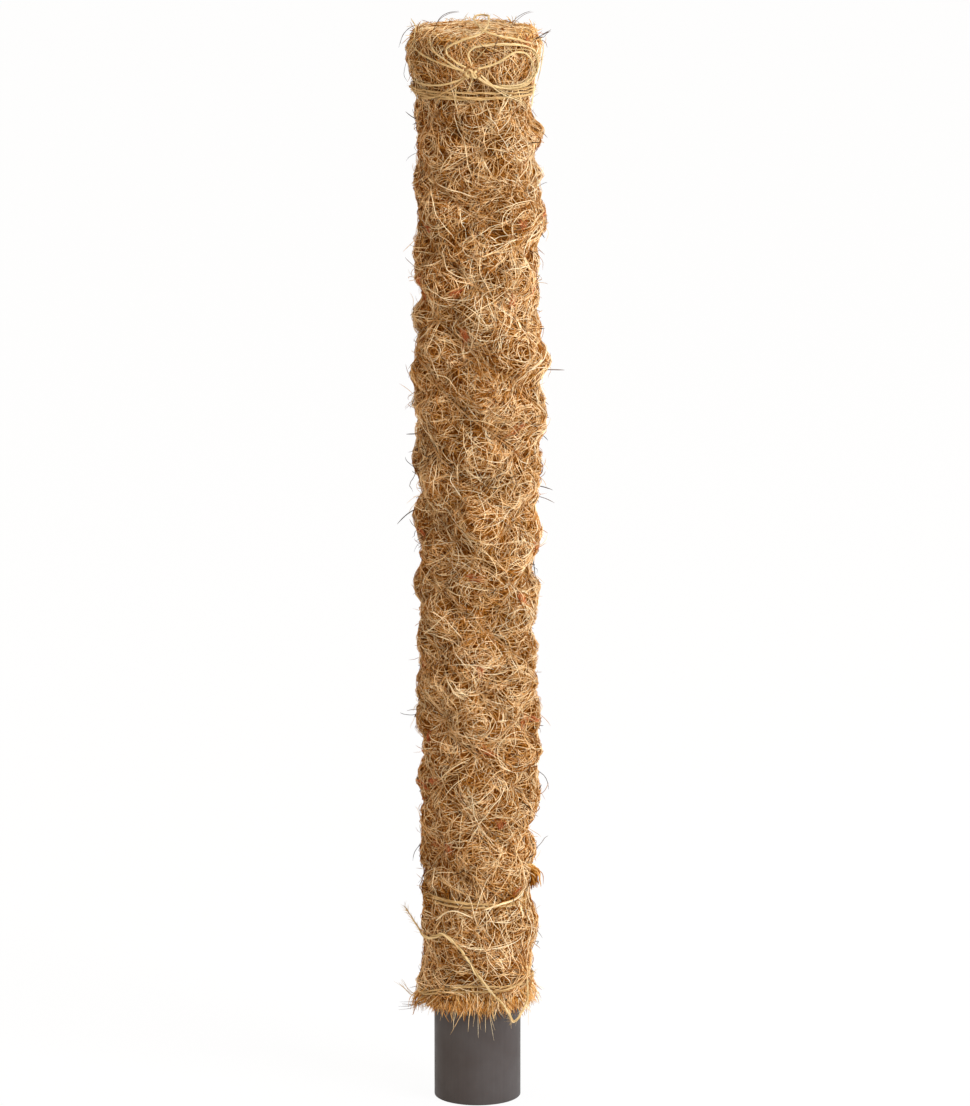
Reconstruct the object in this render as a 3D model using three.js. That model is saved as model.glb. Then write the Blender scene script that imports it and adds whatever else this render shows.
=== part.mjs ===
// Moss pole: a plastic pipe in a sleeve of coir (coconut fibre), lashed with thread and tied with twine.
// Millimetres, +Z up. The origin is the centre of the pipe's lower end. The front is -Y, and angles are
// measured from the front towards +X.

import * as THREE from "three";
import { mergeVertices } from "three/addons/utils/BufferGeometryUtils.js";

// Pole and pipe
const POLE_LENGTH = 500;
const BARE_PIPE = 46; // pipe below the mat, which goes into the pot
const PIPE_DIAMETER = 40;
const PIPE_WALL = 2;
const PIPE_CHAMFER = 0.5;
const PIPE_SIDES = 48;

// Coir mat, as thicknesses over the pipe
const MAT_AT_LOWEST_THREAD = 4.4;
const MAT_AT_HIGHEST_THREAD = 6.4;
const QUILT_RISE = 3.2; // swelling between the threads
const HEM = 8.8; // loose lower edge
const WAIST = 5.8; // between the two lower ties
const CROWN = 9.3; // loose upper end
const TIED_LOWER = 4.4; // under the two lower ties
const TIED_UPPER = 6.5; // under the top tie
const HEM_ROUND = 2.5;
const CROWN_ROUND = 4;
const CROWN_RISE = 13; // from the top tie to the fullest part of the crown

// Coir pad that closes the upper end
const PAD_THICKNESS = 10;
const PAD_CROWN = 2;
const PAD_EDGE = 1;
const PAD_SIDES = 24;

// Lashing thread: it winds up and down the mat, and its starts are spread evenly round the pole
const THREAD = 0.8;
const THREAD_STARTS = 4;
const WHOLE_TURNS_PER_PASS = 3; // less half the spacing of the starts
const THREAD_MARGIN = 4; // from a tie to the nearest thread
const THREAD_SIDES = 4;
const CORNERS = 4; // the mat's corners from one thread to the next, round the pole and up it

// Twine ties
const TWINE = 1.2;
const TOP_TIE_DROP = 27.2; // below the pole's top
const TOP_TURNS = 4;
const MIDDLE_TIE_RISE = 51.5; // above the mat's lower edge
const MIDDLE_TURNS = 3;
const BOTTOM_TIE_RISE = 11.5;
const BOTTOM_TURNS = 2;
const BOTTOM_TIE_LEFT_DROP = 6.8; // how much lower the bottom tie lies at the left than in front
const BOTTOM_TIE_RIGHT_DROP = 1;
const TIE_SHOULDER = 0.8; // bare groove on each side of a tie
const TIE_STEPS = 24; // for each turn
const TIE_SIDES = 6;
const RAMP_STEPS = 5; // from a tie's band to its knot
const LEAD = 16; // length along the band over which a twine end turns towards its knot
const LEAVE_ANGLE = 50; // how far below level a twine end leaves its knot, in degrees

// Knots: how far round the pole, and how far above (or below) the middle of the tie
const TOP_KNOT = { angle: -5, rise: 11.8 };
const MIDDLE_KNOT = { angle: -150, rise: -7.5 };
const BOTTOM_KNOT = { angle: 56, rise: 6.8 };
const KNOT_WIDTH = 1.5; // half the width of a knot, for a radius of 1
const KNOT_DEPTH = 0.5; // half its depth
const KNOT_RINGS = 32;
const KNOT_SIDES = 5;

// Free twine: each point is an angle round the pole, a distance from its axis and a height over the knot
const BOW_LOOP_RIGHT = {
  steps: 26,
  route: [
    [1.1, 30.9, -1.9], [8, 30.2, -4.2], [18, 29.3, -6.4], [31, 28.9, -7.4], [44, 29, -7.1], [55, 29.8, -5],
    [63, 30.6, 0.6], [60, 30.6, 6.2], [51, 30.6, 10], [38, 30.4, 12.2], [21, 30.2, 13.2], [6, 30.3, 12.8],
    [-4, 30.5, 11.3], [-7.6, 30.6, 8.6], [-5.6, 30.7, 5.4], [-4.7, 31, 3.6],
  ],
};
const BOW_LOOP_LEFT = {
  steps: 30,
  route: [
    [-11.3, 31, 1.3], [-26, 30.7, 3.2], [-50, 30.6, 6.4], [-70, 30.6, 9], [-84, 30.6, 9.4], [-95, 30.6, 6.4],
    [-99, 30.6, 1], [-94, 30, -3.6], [-82, 29.2, -6.2], [-65, 28.9, -7.1], [-45, 29, -6.8], [-27, 29.4, -5.2],
    [-16, 30.1, -3.2], [-10.8, 30.8, -1.6],
  ],
};
const BOW_TAIL_TOP = {
  steps: 48,
  route: [
    [-9.5, 31, 2.9], [-17, 30.8, 4.9], [-24.7, 30.6, 7.5], [-26.8, 30.6, 8.9], [-26.8, 30.5, 10.7],
    [-23.9, 30.3, 12.3], [-14, 29.6, 14.8], [-3, 28.6, 16.6], [5, 27, 18.2], [9.5, 21.8, 18.9],
    [18, 14.7, 19.3], [41, 7.9, 19.8], [111, 5.6, 20.2], [154, 11.6, 20.2], [162, 13.2, 20.1],
    [172, 13.6, 20], [181, 12.6, 19.9], [186, 10.5, 19.9], [215, 2.4, 20], [-11, 6.1, 20.2],
    [-2, 14, 20.4], [2, 21.8, 20.5], [4.7, 28, 19.7], [11, 29.7, 18.2], [19, 30.3, 16.9],
    [30, 30.6, 15.6], [40, 31.2, 14.1], [50, 32, 12.2],
  ],
};
const BOW_TAIL_RIGHT = {
  steps: 12,
  route: [
    [0.2, 31.1, 2.3], [9, 31, 3.4], [18, 30.7, 5], [26, 30.6, 7.4], [34, 30.6, 9], [43, 30.6, 8.4],
    [50, 30.6, 6], [54.5, 30.6, 2.6], [56, 30.6, -1],
  ],
};
const BOTTOM_TAIL = {
  steps: 24,
  route: [
    [56, 27.7, -3.8], [55.6, 27.9, -5.4], [53.5, 29, -8.6], [49, 30.6, -12.4], [43, 31, -16.6],
    [37, 31, -20.2], [32.5, 30.9, -21.4], [29, 30.9, -18.6], [23, 30.6, -12.9], [15, 29.8, -8.1],
    [5, 28.6, -1.7], [-5, 27.6, 4.5], [-15, 27.2, 11.9], [-25, 27.4, 16.9], [-35, 27.6, 19.1],
    [-45, 27.6, 17.5], [-56, 27.4, 15.5], [-70, 27.3, 16.1], [-82, 28, 18.1], [-91, 30.6, 21.5],
    [-97, 34, 25.5],
  ],
};
const TAIL_TWINE = 1.8; // the bottom tail is unlaid and thicker
const CORD_SIDES = 8;

// Clearances
const SEAT = 0.3; // between pieces that touch
const TURN_GAP = 0.6; // between one turn of a winding and the next
const GAP_SAMPLES = 4; // points on each step of a winding when its gap is measured

// Looks
const PIPE_GREY = 0x56504e;
const COIR_BROWN = 0xa9743e;
const THREAD_TAN = 0xc79a5c;
const TWINE_STRAW = 0xdcc07a;
const PIPE_ROUGHNESS = 0.5;
const COIR_ROUGHNESS = 0.95;
const TWINE_ROUGHNESS = 0.8;

// Values that follow from the sizes
const pipeRadius = PIPE_DIAMETER / 2;
const padBottom = POLE_LENGTH - PAD_THICKNESS;
const matBottom = BARE_PIPE;
const topTie = POLE_LENGTH - TOP_TIE_DROP;
const middleTie = matBottom + MIDDLE_TIE_RISE;
const bottomTie = matBottom + BOTTOM_TIE_RISE;
const waist = (bottomTie + middleTie) / 2;
const turnPitch = TWINE + TURN_GAP;
const columns = CORNERS * THREAD_STARTS;
const passes = 2 * THREAD_STARTS;
const rowsPerPass = WHOLE_TURNS_PER_PASS * columns - CORNERS / 2;
const lowestThread = middleTie + bandHalf(MIDDLE_TURNS) + THREAD_MARGIN;
const highestThread = topTie - bandHalf(TOP_TURNS) - THREAD_MARGIN;
const knotRadius = TWINE + TURN_GAP;
const knotReach = KNOT_WIDTH * knotRadius + TWINE / 2;
const knotDepth = KNOT_DEPTH * knotRadius + TWINE / 2;

const radians = THREE.MathUtils.degToRad;
const lerp = THREE.MathUtils.lerp;

function bandHalf(turns) {
  return ((turns - 1) * turnPitch + TWINE) / 2 + TIE_SHOULDER;
}

function around(angle, radius, height) {
  return new THREE.Vector3(radius * Math.sin(angle), -radius * Math.cos(angle), height);
}

// How far the bottom tie's slant moves the mat and what lies on it: fully in the tie's groove, and not at all
// at the mat's lower edge and above the waist.
function slant(angle, height) {
  const half = bandHalf(BOTTOM_TURNS);
  const fromEdge = (height - matBottom) / (bottomTie - half - matBottom);
  const fromWaist = (waist - height) / (waist - half - bottomTie);
  const share = THREE.MathUtils.clamp(Math.min(fromEdge, fromWaist), 0, 1);
  const side = Math.sin(angle);
  const drop = lerp(BOTTOM_TIE_LEFT_DROP, BOTTOM_TIE_RIGHT_DROP, (side + 1) / 2) * side ** 2;
  return -drop * share;
}

function aroundMat(angle, radius, height) {
  return around(angle, radius, height + slant(angle, height));
}

// A closed mesh through rings of points. The last ring joins the first, or both ends get a cap.
function skin(rings, joined, crossed = () => false) {
  const sides = rings[0].length;
  const indices = [];
  const last = joined ? rings.length : rings.length - 1;
  for (let row = 0; row < last; row += 1) {
    for (let side = 0; side < sides; side += 1) {
      const a = row * sides + side;
      const b = row * sides + (side + 1) % sides;
      const d = (row + 1) % rings.length * sides + side;
      const c = (row + 1) % rings.length * sides + (side + 1) % sides;
      if (crossed(row, side)) {
        indices.push(a, b, d, b, c, d);
      } else {
        indices.push(a, b, c, a, c, d);
      }
    }
  }
  if (!joined) {
    const top = last * sides;
    for (let side = 1; side < sides - 1; side += 1) {
      indices.push(0, side + 1, side);
      indices.push(top, top + side, top + side + 1);
    }
  }
  const geometry = new THREE.BufferGeometry().setFromPoints(rings.flat());
  geometry.setIndex(indices);
  geometry.computeVertexNormals();
  return geometry;
}

// A tube along points that lie round the pole, with a flat side towards the axis.
function tubeAround(points, diameter, sides) {
  const rings = points.map((point, i) => {
    const before = points[Math.max(i - 1, 0)];
    const after = points[Math.min(i + 1, points.length - 1)];
    const tangent = after.clone().sub(before).normalize();
    const outward = new THREE.Vector3(point.x, point.y, 0).normalize();
    outward.addScaledVector(tangent, -outward.dot(tangent)).normalize();
    const across = tangent.clone().cross(outward);
    return Array.from({ length: sides }, (_, side) => {
      const turn = (side + 0.5) / sides * 2 * Math.PI;
      const ring = point.clone().addScaledVector(outward, Math.cos(turn) * diameter / 2);
      return ring.addScaledVector(across, Math.sin(turn) * diameter / 2);
    });
  });
  return skin(rings, false);
}

// The least gap between stretches of one winding that are over a quarter of a turn apart.
function leastGap(points, diameter, stepsPerTurn) {
  const dense = points.slice(1).flatMap((point, i) =>
    Array.from({ length: GAP_SAMPLES }, (_, k) => points[i].clone().lerp(point, k / GAP_SAMPLES)));
  const apart = Math.ceil(stepsPerTurn * GAP_SAMPLES / 4);
  let least = Infinity;
  for (let i = 0; i < dense.length; i += 1) {
    for (let j = i + apart; j < dense.length; j += 1) {
      least = Math.min(least, dense[i].distanceTo(dense[j]));
    }
  }
  return least - diameter;
}

// The mat's outside away from the threads: heights and thicknesses over the pipe.
function tiedRows(height, turns, thickness) {
  return [[height - bandHalf(turns), thickness], [height + bandHalf(turns), thickness]];
}

const lowerRows = [
  [matBottom, HEM - HEM_ROUND / 2],
  [matBottom + HEM_ROUND, HEM],
  ...tiedRows(bottomTie, BOTTOM_TURNS, TIED_LOWER),
  [waist, WAIST],
  ...tiedRows(middleTie, MIDDLE_TURNS, TIED_LOWER),
];
const upperRows = [
  ...tiedRows(topTie, TOP_TURNS, TIED_UPPER),
  [topTie + CROWN_RISE, CROWN],
  [POLE_LENGTH - CROWN_ROUND, CROWN],
  [POLE_LENGTH, CROWN - CROWN_ROUND / 2],
];

function threadRow(row) {
  const share = row / rowsPerPass;
  return [lerp(lowestThread, highestThread, share), lerp(MAT_AT_LOWEST_THREAD, MAT_AT_HIGHEST_THREAD, share)];
}

function columnAngle(column) {
  return column / columns * 2 * Math.PI;
}

// Nothing on the thread's lines, and the full rise in the middle of each diamond between them.
function quilt(row, column) {
  const wave = (corner) => Math.cos(corner / CORNERS * 2 * Math.PI);
  return QUILT_RISE * Math.abs(wave(row) - wave(column)) / 2;
}

// The mat's outer radius at a height that a tie, a knot or free twine reaches.
function matRadius(height) {
  const rows = [...lowerRows, threadRow(0), threadRow(rowsPerPass), ...upperRows];
  const next = rows.findIndex(([top]) => top >= height);
  if (next <= 0) {
    return pipeRadius + rows.at(next)[1];
  }
  const [low, thin] = rows[next - 1];
  const [high, thick] = rows[next];
  return pipeRadius + lerp(thin, thick, (height - low) / (high - low));
}

function corePipe() {
  const inner = pipeRadius - PIPE_WALL;
  const top = padBottom - SEAT;
  const profile = [
    [inner, PIPE_CHAMFER], [inner + PIPE_CHAMFER, 0], [pipeRadius - PIPE_CHAMFER, 0],
    [pipeRadius, PIPE_CHAMFER], [pipeRadius, top], [inner, top], [inner, PIPE_CHAMFER],
  ].map(([radius, height]) => new THREE.Vector2(radius, height));
  return new THREE.LatheGeometry(profile, PIPE_SIDES).rotateX(Math.PI / 2);
}

function coirMat() {
  const bore = (pipeRadius + SEAT) / Math.cos(Math.PI / columns);
  const ring = (radiusAt, height) =>
    Array.from({ length: columns }, (_, column) => aroundMat(columnAngle(column), radiusAt(column), height));
  const plain = ([height, thickness]) => ring(() => pipeRadius + thickness, height);
  const lashed = Array.from({ length: rowsPerPass + 1 }, (_, row) => {
    const [height, thickness] = threadRow(row);
    return ring((column) => pipeRadius + thickness + quilt(row, column), height);
  });
  const rings = [
    ...lowerRows.map(plain), ...lashed, ...upperRows.map(plain),
    ring(() => bore, POLE_LENGTH), ring(() => bore, matBottom),
  ];
  const onFallingThread = (row, column) => (row - lowerRows.length + column + 1) % CORNERS === 0;
  return skin(rings, true, onFallingThread);
}

function topPad() {
  const profile = [
    [0, padBottom], [pipeRadius - PAD_EDGE, padBottom], [pipeRadius, padBottom + PAD_EDGE],
    [pipeRadius, POLE_LENGTH - PAD_EDGE], [pipeRadius - PAD_EDGE, POLE_LENGTH],
    [pipeRadius / 2, POLE_LENGTH + PAD_CROWN * 3 / 4], [0, POLE_LENGTH + PAD_CROWN],
  ].map(([radius, height]) => new THREE.Vector2(radius, height));
  return new THREE.LatheGeometry(profile, PAD_SIDES).rotateX(Math.PI / 2);
}

// One thread, which rises and falls round the mat. A falling stretch passes over each rising one it meets.
function bindingThread() {
  const steps = passes * rowsPerPass;
  const points = Array.from({ length: steps + 1 }, (_, step) => {
    const pass = Math.floor(step / rowsPerPass);
    const along = step % rowsPerPass;
    const falls = pass % 2 === 1;
    const row = falls ? rowsPerPass - along : along;
    const crosses = (falls && along > 0 && along % 2 === 0) || step === steps;
    const [height, thickness] = threadRow(row);
    const lift = crosses ? THREAD + TURN_GAP : 0;
    return around(columnAngle(step), pipeRadius + thickness + SEAT + THREAD / 2 + lift, height);
  });
  console.log(`binding_thread least gap ${leastGap(points, THREAD, columns).toFixed(2)} mm`);
  return tubeAround(points, THREAD, THREAD_SIDES);
}

// A twine tie, as points on the unrolled mat: from its knot down to the band, round it, and back over it.
function tiePoints(height, turns, knot) {
  const seat = SEAT + TWINE / 2;
  const reach = knotReach + SEAT;
  const bandRadius = matRadius(height) + seat;
  const turnLength = 2 * Math.PI * bandRadius;
  const leave = new THREE.Vector2(Math.cos(radians(LEAVE_ANGLE)), -Math.sin(radians(LEAVE_ANGLE)));
  const drop = Math.abs(knot.rise);
  const bandLength = turns * turnLength - 2 * drop * leave.x / -leave.y - 3 * LEAD;
  const bandTop = turnPitch * bandLength / turnLength / 2;
  const ramp = (level) => {
    const start = new THREE.Vector2(leave.x * reach, drop + leave.y * reach);
    const bend = start.clone().addScaledVector(leave, (start.y - level) / -leave.y);
    const foot = new THREE.Vector2(bend.x + LEAD, level);
    return new THREE.QuadraticBezierCurve(start, bend, foot).getPoints(RAMP_STEPS);
  };
  const down = ramp(bandTop).map(({ x, y }) => [x, y, 0]);
  const up = ramp(-bandTop).map(({ x, y }) => [turns * turnLength - x, y, turnPitch]).reverse();
  const from = down.at(-1)[0];
  const steps = Math.round(bandLength / turnLength * TIE_STEPS);
  const band = Array.from({ length: steps }, (_, step) => {
    const share = (step + 1) / steps;
    return [from + share * bandLength, lerp(bandTop, -bandTop, share), 0];
  });
  return [...down, ...band, ...up].map(([along, rise, lift]) => {
    const level = height + rise * Math.sign(knot.rise);
    const radius = (matRadius(level) + seat + lift) / Math.cos(Math.PI / TIE_STEPS);
    return aroundMat(radians(knot.angle) + along / bandRadius, radius, level);
  });
}

function tie(name, height, turns, knot) {
  const points = tiePoints(height, turns, knot);
  console.log(`${name} least gap ${leastGap(points, TWINE, TIE_STEPS).toFixed(2)} mm`);
  return tubeAround(points, TWINE, TIE_SIDES);
}

function knotGeometry() {
  const geometry = new THREE.TorusKnotGeometry(knotRadius, TWINE / 2, KNOT_RINGS, KNOT_SIDES);
  geometry.deleteAttribute("normal");
  geometry.deleteAttribute("uv");
  const merged = mergeVertices(geometry);
  merged.computeVertexNormals();
  return merged;
}

// Free twine along its route, whose heights start at the knot of a tie.
function cordGeometry({ steps, route }, height, knot, diameter) {
  const level = height + knot.rise;
  const start = level + slant(radians(knot.angle), level);
  const points = route.map(([angle, radius, rise]) => around(radians(angle), radius, start + rise));
  const section = new THREE.Shape(Array.from({ length: CORD_SIDES }, (_, side) => {
    const turn = side / CORD_SIDES * 2 * Math.PI;
    return new THREE.Vector2(Math.cos(turn), Math.sin(turn)).multiplyScalar(diameter / 2);
  }));
  return new THREE.ExtrudeGeometry(section, { extrudePath: new THREE.CatmullRomCurve3(points), steps });
}

const pole = new THREE.Group();

function add(name, geometry, color, roughness) {
  const material = new THREE.MeshStandardMaterial({ color, roughness, metalness: 0 });
  const mesh = new THREE.Mesh(geometry, material);
  mesh.name = name;
  pole.add(mesh);
  return mesh;
}

function addTwine(name, geometry) {
  return add(name, geometry, TWINE_STRAW, TWINE_ROUGHNESS);
}

function addKnot(name, height, knot) {
  const mesh = addTwine(name, knotGeometry());
  const level = height + knot.rise;
  const seat = Math.max(matRadius(level - knotReach), matRadius(level + knotReach)) + SEAT;
  mesh.position.copy(aroundMat(radians(knot.angle), seat + knotDepth, level));
  mesh.rotation.set(Math.PI / 2, 0, radians(knot.angle), "ZYX");
}

add("core_pipe", corePipe(), PIPE_GREY, PIPE_ROUGHNESS);
add("coir_mat", coirMat(), COIR_BROWN, COIR_ROUGHNESS);
add("coir_top_pad", topPad(), COIR_BROWN, COIR_ROUGHNESS);
add("binding_thread", bindingThread(), THREAD_TAN, TWINE_ROUGHNESS);

addTwine("top_tie", tie("top_tie", topTie, TOP_TURNS, TOP_KNOT));
addTwine("middle_tie", tie("middle_tie", middleTie, MIDDLE_TURNS, MIDDLE_KNOT));
addTwine("bottom_tie", tie("bottom_tie", bottomTie, BOTTOM_TURNS, BOTTOM_KNOT));
addKnot("top_knot", topTie, TOP_KNOT);
addKnot("middle_knot", middleTie, MIDDLE_KNOT);
addKnot("bottom_knot", bottomTie, BOTTOM_KNOT);

addTwine("bow_loop_right", cordGeometry(BOW_LOOP_RIGHT, topTie, TOP_KNOT, TWINE));
addTwine("bow_loop_left", cordGeometry(BOW_LOOP_LEFT, topTie, TOP_KNOT, TWINE));
addTwine("bow_tail_top", cordGeometry(BOW_TAIL_TOP, topTie, TOP_KNOT, TWINE));
addTwine("bow_tail_right", cordGeometry(BOW_TAIL_RIGHT, topTie, TOP_KNOT, TWINE));
addTwine("bottom_tail", cordGeometry(BOTTOM_TAIL, bottomTie, BOTTOM_KNOT, TAIL_TWINE));

export default pole;
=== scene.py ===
"""Looks of the moss pole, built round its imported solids: a mat of separate coir fibres lashed over a plastic
pipe, with twine ties and a twine bow. Lengths are in millimetres until a mesh is made. The front is -Y, and
angles are measured from the front towards +X."""

import math

import bpy
import numpy as np
from mathutils import Euler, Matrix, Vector


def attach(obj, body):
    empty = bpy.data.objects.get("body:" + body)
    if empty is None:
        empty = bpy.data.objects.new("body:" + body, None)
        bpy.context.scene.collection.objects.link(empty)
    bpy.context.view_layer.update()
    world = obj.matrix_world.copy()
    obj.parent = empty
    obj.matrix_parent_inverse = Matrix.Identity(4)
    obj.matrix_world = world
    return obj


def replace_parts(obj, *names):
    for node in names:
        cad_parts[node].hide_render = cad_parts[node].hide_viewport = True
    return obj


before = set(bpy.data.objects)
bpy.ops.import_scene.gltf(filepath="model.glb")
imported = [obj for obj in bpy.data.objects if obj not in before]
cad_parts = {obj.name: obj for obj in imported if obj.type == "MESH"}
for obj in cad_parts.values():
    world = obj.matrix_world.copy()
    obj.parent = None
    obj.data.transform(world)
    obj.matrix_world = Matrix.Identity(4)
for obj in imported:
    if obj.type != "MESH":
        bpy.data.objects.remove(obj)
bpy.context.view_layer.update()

MM = 0.001
FULL_TURN = 2 * math.pi
BODY = "root"

# Camera, from the photograph's vanishing and framing
IMAGE_HEIGHT = 1106  # pixels
FOCAL_LENGTH = 7979  # pixels
SENSOR = 36
CAMERA_DISTANCE = 3660
CAMERA_PITCH = 12.5  # degrees below level
AIM_HEIGHT = 250
CAMERA_RIGHT = 3.5  # how far the camera stands right of its aim, and above it
CAMERA_UP = 7.5
CLIP_END = 100  # metres

# Sizes of the solids
POLE_LENGTH = 500
BARE_PIPE = 46
PIPE_RADIUS = 20
PIPE_WALL = 2
PIPE_CHAMFER = 0.5
MAT_AT_LOWEST_THREAD = 4.4
MAT_AT_HIGHEST_THREAD = 6.4
QUILT_RISE = 3.2
HEM = 8.8
HEM_ROUND = 2.5
WAIST = 5.8
CROWN = 9.3
CROWN_ROUND = 4
CROWN_RISE = 13
TIED_LOWER = 4.4
TIED_UPPER = 6.5
PAD_THICKNESS = 10
PAD_CROWN = 2
TWINE = 1.2
TAIL_TWINE = 1.8
SEAT = 0.3
TURN_GAP = 0.6
TIE_SHOULDER = 0.8
THREAD_MARGIN = 4
COLUMNS = 16
CORNERS = 4
PASSES = 8
ROWS = 46
KNOT_WIDTH = 1.5
KNOT_DEPTH = 0.5
LEAD = 16
LEAVE_ANGLE = 50
BOTTOM_TIE_LEFT_DROP = 6.8
BOTTOM_TIE_RIGHT_DROP = 1

PAD_BOTTOM = POLE_LENGTH - PAD_THICKNESS
TURN_PITCH = TWINE + TURN_GAP
KNOT_RADIUS = TWINE + TURN_GAP
KNOT_REACH = KNOT_WIDTH * KNOT_RADIUS + TWINE / 2
BOTTOM_TURNS = 2
BOTTOM_TIE_HEIGHT = BARE_PIPE + 11.5
MIDDLE_TIE_HEIGHT = BARE_PIPE + 51.5
WAIST_HEIGHT = (BOTTOM_TIE_HEIGHT + MIDDLE_TIE_HEIGHT) / 2


def band_half(turns):
    return ((turns - 1) * TURN_PITCH + TWINE) / 2 + TIE_SHOULDER


def slant(angle, height):
    """How far the bottom tie's slant moves the mat and what lies on it: fully in the tie's groove, and not
    at all at the mat's lower edge and above the waist."""
    half = band_half(BOTTOM_TURNS)
    from_edge = (height - BARE_PIPE) / (BOTTOM_TIE_HEIGHT - half - BARE_PIPE)
    from_waist = (WAIST_HEIGHT - height) / (WAIST_HEIGHT - half - BOTTOM_TIE_HEIGHT)
    side = np.sin(angle)
    share = np.clip(np.minimum(from_edge, from_waist), 0, 1)
    drop = BOTTOM_TIE_LEFT_DROP + (BOTTOM_TIE_RIGHT_DROP - BOTTOM_TIE_LEFT_DROP) * (side + 1) / 2
    return -drop * side**2 * share


class Tie:
    """A band of twine round the mat, with its knot's angle and its knot's height over the band."""

    def __init__(self, height, turns, knot_angle, knot_rise, thickness):
        self.height = height
        self.turns = turns
        self.knot_angle = math.radians(knot_angle)
        self.knot_rise = knot_rise
        self.thickness = thickness
        self.half = band_half(turns)
        level = height + knot_rise
        self.knot_height = level + slant(self.knot_angle, level)


TOP_TIE = Tie(POLE_LENGTH - 27.2, 4, -5, 11.8, TIED_UPPER)
MIDDLE_TIE = Tie(MIDDLE_TIE_HEIGHT, 3, -150, -7.5, TIED_LOWER)
BOTTOM_TIE = Tie(BOTTOM_TIE_HEIGHT, BOTTOM_TURNS, 56, 6.8, TIED_LOWER)
LOWEST_THREAD = MIDDLE_TIE.height + MIDDLE_TIE.half + THREAD_MARGIN
HIGHEST_THREAD = TOP_TIE.height - TOP_TIE.half - THREAD_MARGIN

# Free twine: each point is an angle in degrees, a distance from the axis and a height over the knot
BOW_LOOP_RIGHT = [
    (1.1, 30.9, -1.9), (8, 30.2, -4.2), (18, 29.3, -6.4), (31, 28.9, -7.4), (44, 29, -7.1), (55, 29.8, -5),
    (63, 30.6, 0.6), (60, 30.6, 6.2), (51, 30.6, 10), (38, 30.4, 12.2), (21, 30.2, 13.2), (6, 30.3, 12.8),
    (-4, 30.5, 11.3), (-7.6, 30.6, 8.6), (-5.6, 30.7, 5.4), (-4.7, 31, 3.6),
]
BOW_LOOP_LEFT = [
    (-11.3, 31, 1.3), (-26, 30.7, 3.2), (-50, 30.6, 6.4), (-70, 30.6, 9), (-84, 30.6, 9.4), (-95, 30.6, 6.4),
    (-99, 30.6, 1), (-94, 30, -3.6), (-82, 29.2, -6.2), (-65, 28.9, -7.1), (-45, 29, -6.8),
    (-27, 29.4, -5.2), (-16, 30.1, -3.2), (-10.8, 30.8, -1.6),
]
BOW_TAIL_TOP = [
    (-9.5, 31, 2.9), (-17, 30.8, 4.9), (-24.7, 30.6, 7.5), (-26.8, 30.6, 8.9), (-26.8, 30.5, 10.7),
    (-23.9, 30.3, 12.3), (-14, 29.6, 14.8), (-3, 28.6, 16.6), (5, 27, 18.2), (9.5, 21.8, 18.9),
    (18, 14.7, 19.3), (41, 7.9, 19.8), (111, 5.6, 20.2), (154, 11.6, 20.2), (162, 13.2, 20.1),
    (172, 13.6, 20), (181, 12.6, 19.9), (186, 10.5, 19.9), (215, 2.4, 20), (-11, 6.1, 20.2),
    (-2, 14, 20.4), (2, 21.8, 20.5), (4.7, 28, 19.7), (11, 29.7, 18.2), (19, 30.3, 16.9),
    (30, 30.6, 15.6), (40, 31.2, 14.1), (50, 32, 12.2),
]
BOW_TAIL_RIGHT = [
    (0.2, 31.1, 2.3), (9, 31, 3.4), (18, 30.7, 5), (26, 30.6, 7.4), (34, 30.6, 9), (43, 30.6, 8.4),
    (50, 30.6, 6), (54.5, 30.6, 2.6), (56, 30.6, -1),
]
BOTTOM_TAIL = [
    (56, 27.7, -3.8), (55.6, 27.9, -5.4), (53.5, 29, -8.6), (49, 30.6, -12.4), (43, 31, -16.6),
    (37, 31, -20.2), (32.5, 30.9, -21.4), (29, 30.9, -18.6), (23, 30.6, -12.9), (15, 29.8, -8.1),
    (5, 28.6, -1.7), (-5, 27.6, 4.5), (-15, 27.2, 11.9), (-25, 27.4, 16.9), (-35, 27.6, 19.1),
    (-45, 27.6, 17.5), (-56, 27.4, 15.5), (-70, 27.3, 16.1), (-82, 28, 18.1), (-91, 30.6, 21.5),
    (-97, 34, 25.5),
]

# Twine and thread
PLIES = 3
PLY_RADIUS = 0.21  # of the twine's diameter, and the ply's distance from its middle
PLY_OFFSET = 0.21
PLY_TURN = 15  # length of one turn of the plies
PLY_LOOSE = 0.5  # how much the plies part and close along the twine
PLY_LOOSE_LENGTH = 5
PLY_SIDES = 6
TWINE_STEP = 0.7
CURVE_STEPS = 24  # between two points of a route
THREAD_STEPS = 4  # between two corners of the mat
THREAD_SPACING = 1.4
THREAD_SIDES = 4
THREAD_SEEN = 0.5  # the thread is drawn tight and thin among the fibres
PLAIN_SHAPE = [(0, 1), (0.96, 1), (1, 0.6)]  # share of a twine's length, and its width there
TAIL_SHAPE = [(0, 0.7), (0.35, 0.75), (0.5, 1), (0.78, 1.1), (0.86, 0.7), (1, 0.25)]
FUZZ_PER_MM = 1.1
TAIL_FUZZ_PER_MM = 3.5
FUZZ_LENGTH = (1.2, 3.6)
FUZZ_WIDTH = (0.08, 0.14)
FUZZ_LEAN = (0.3, 0.9)  # how far a hair bends aside, of its length
FUZZ_CURVE = 1.5
FUZZ_POINTS = 4

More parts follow.
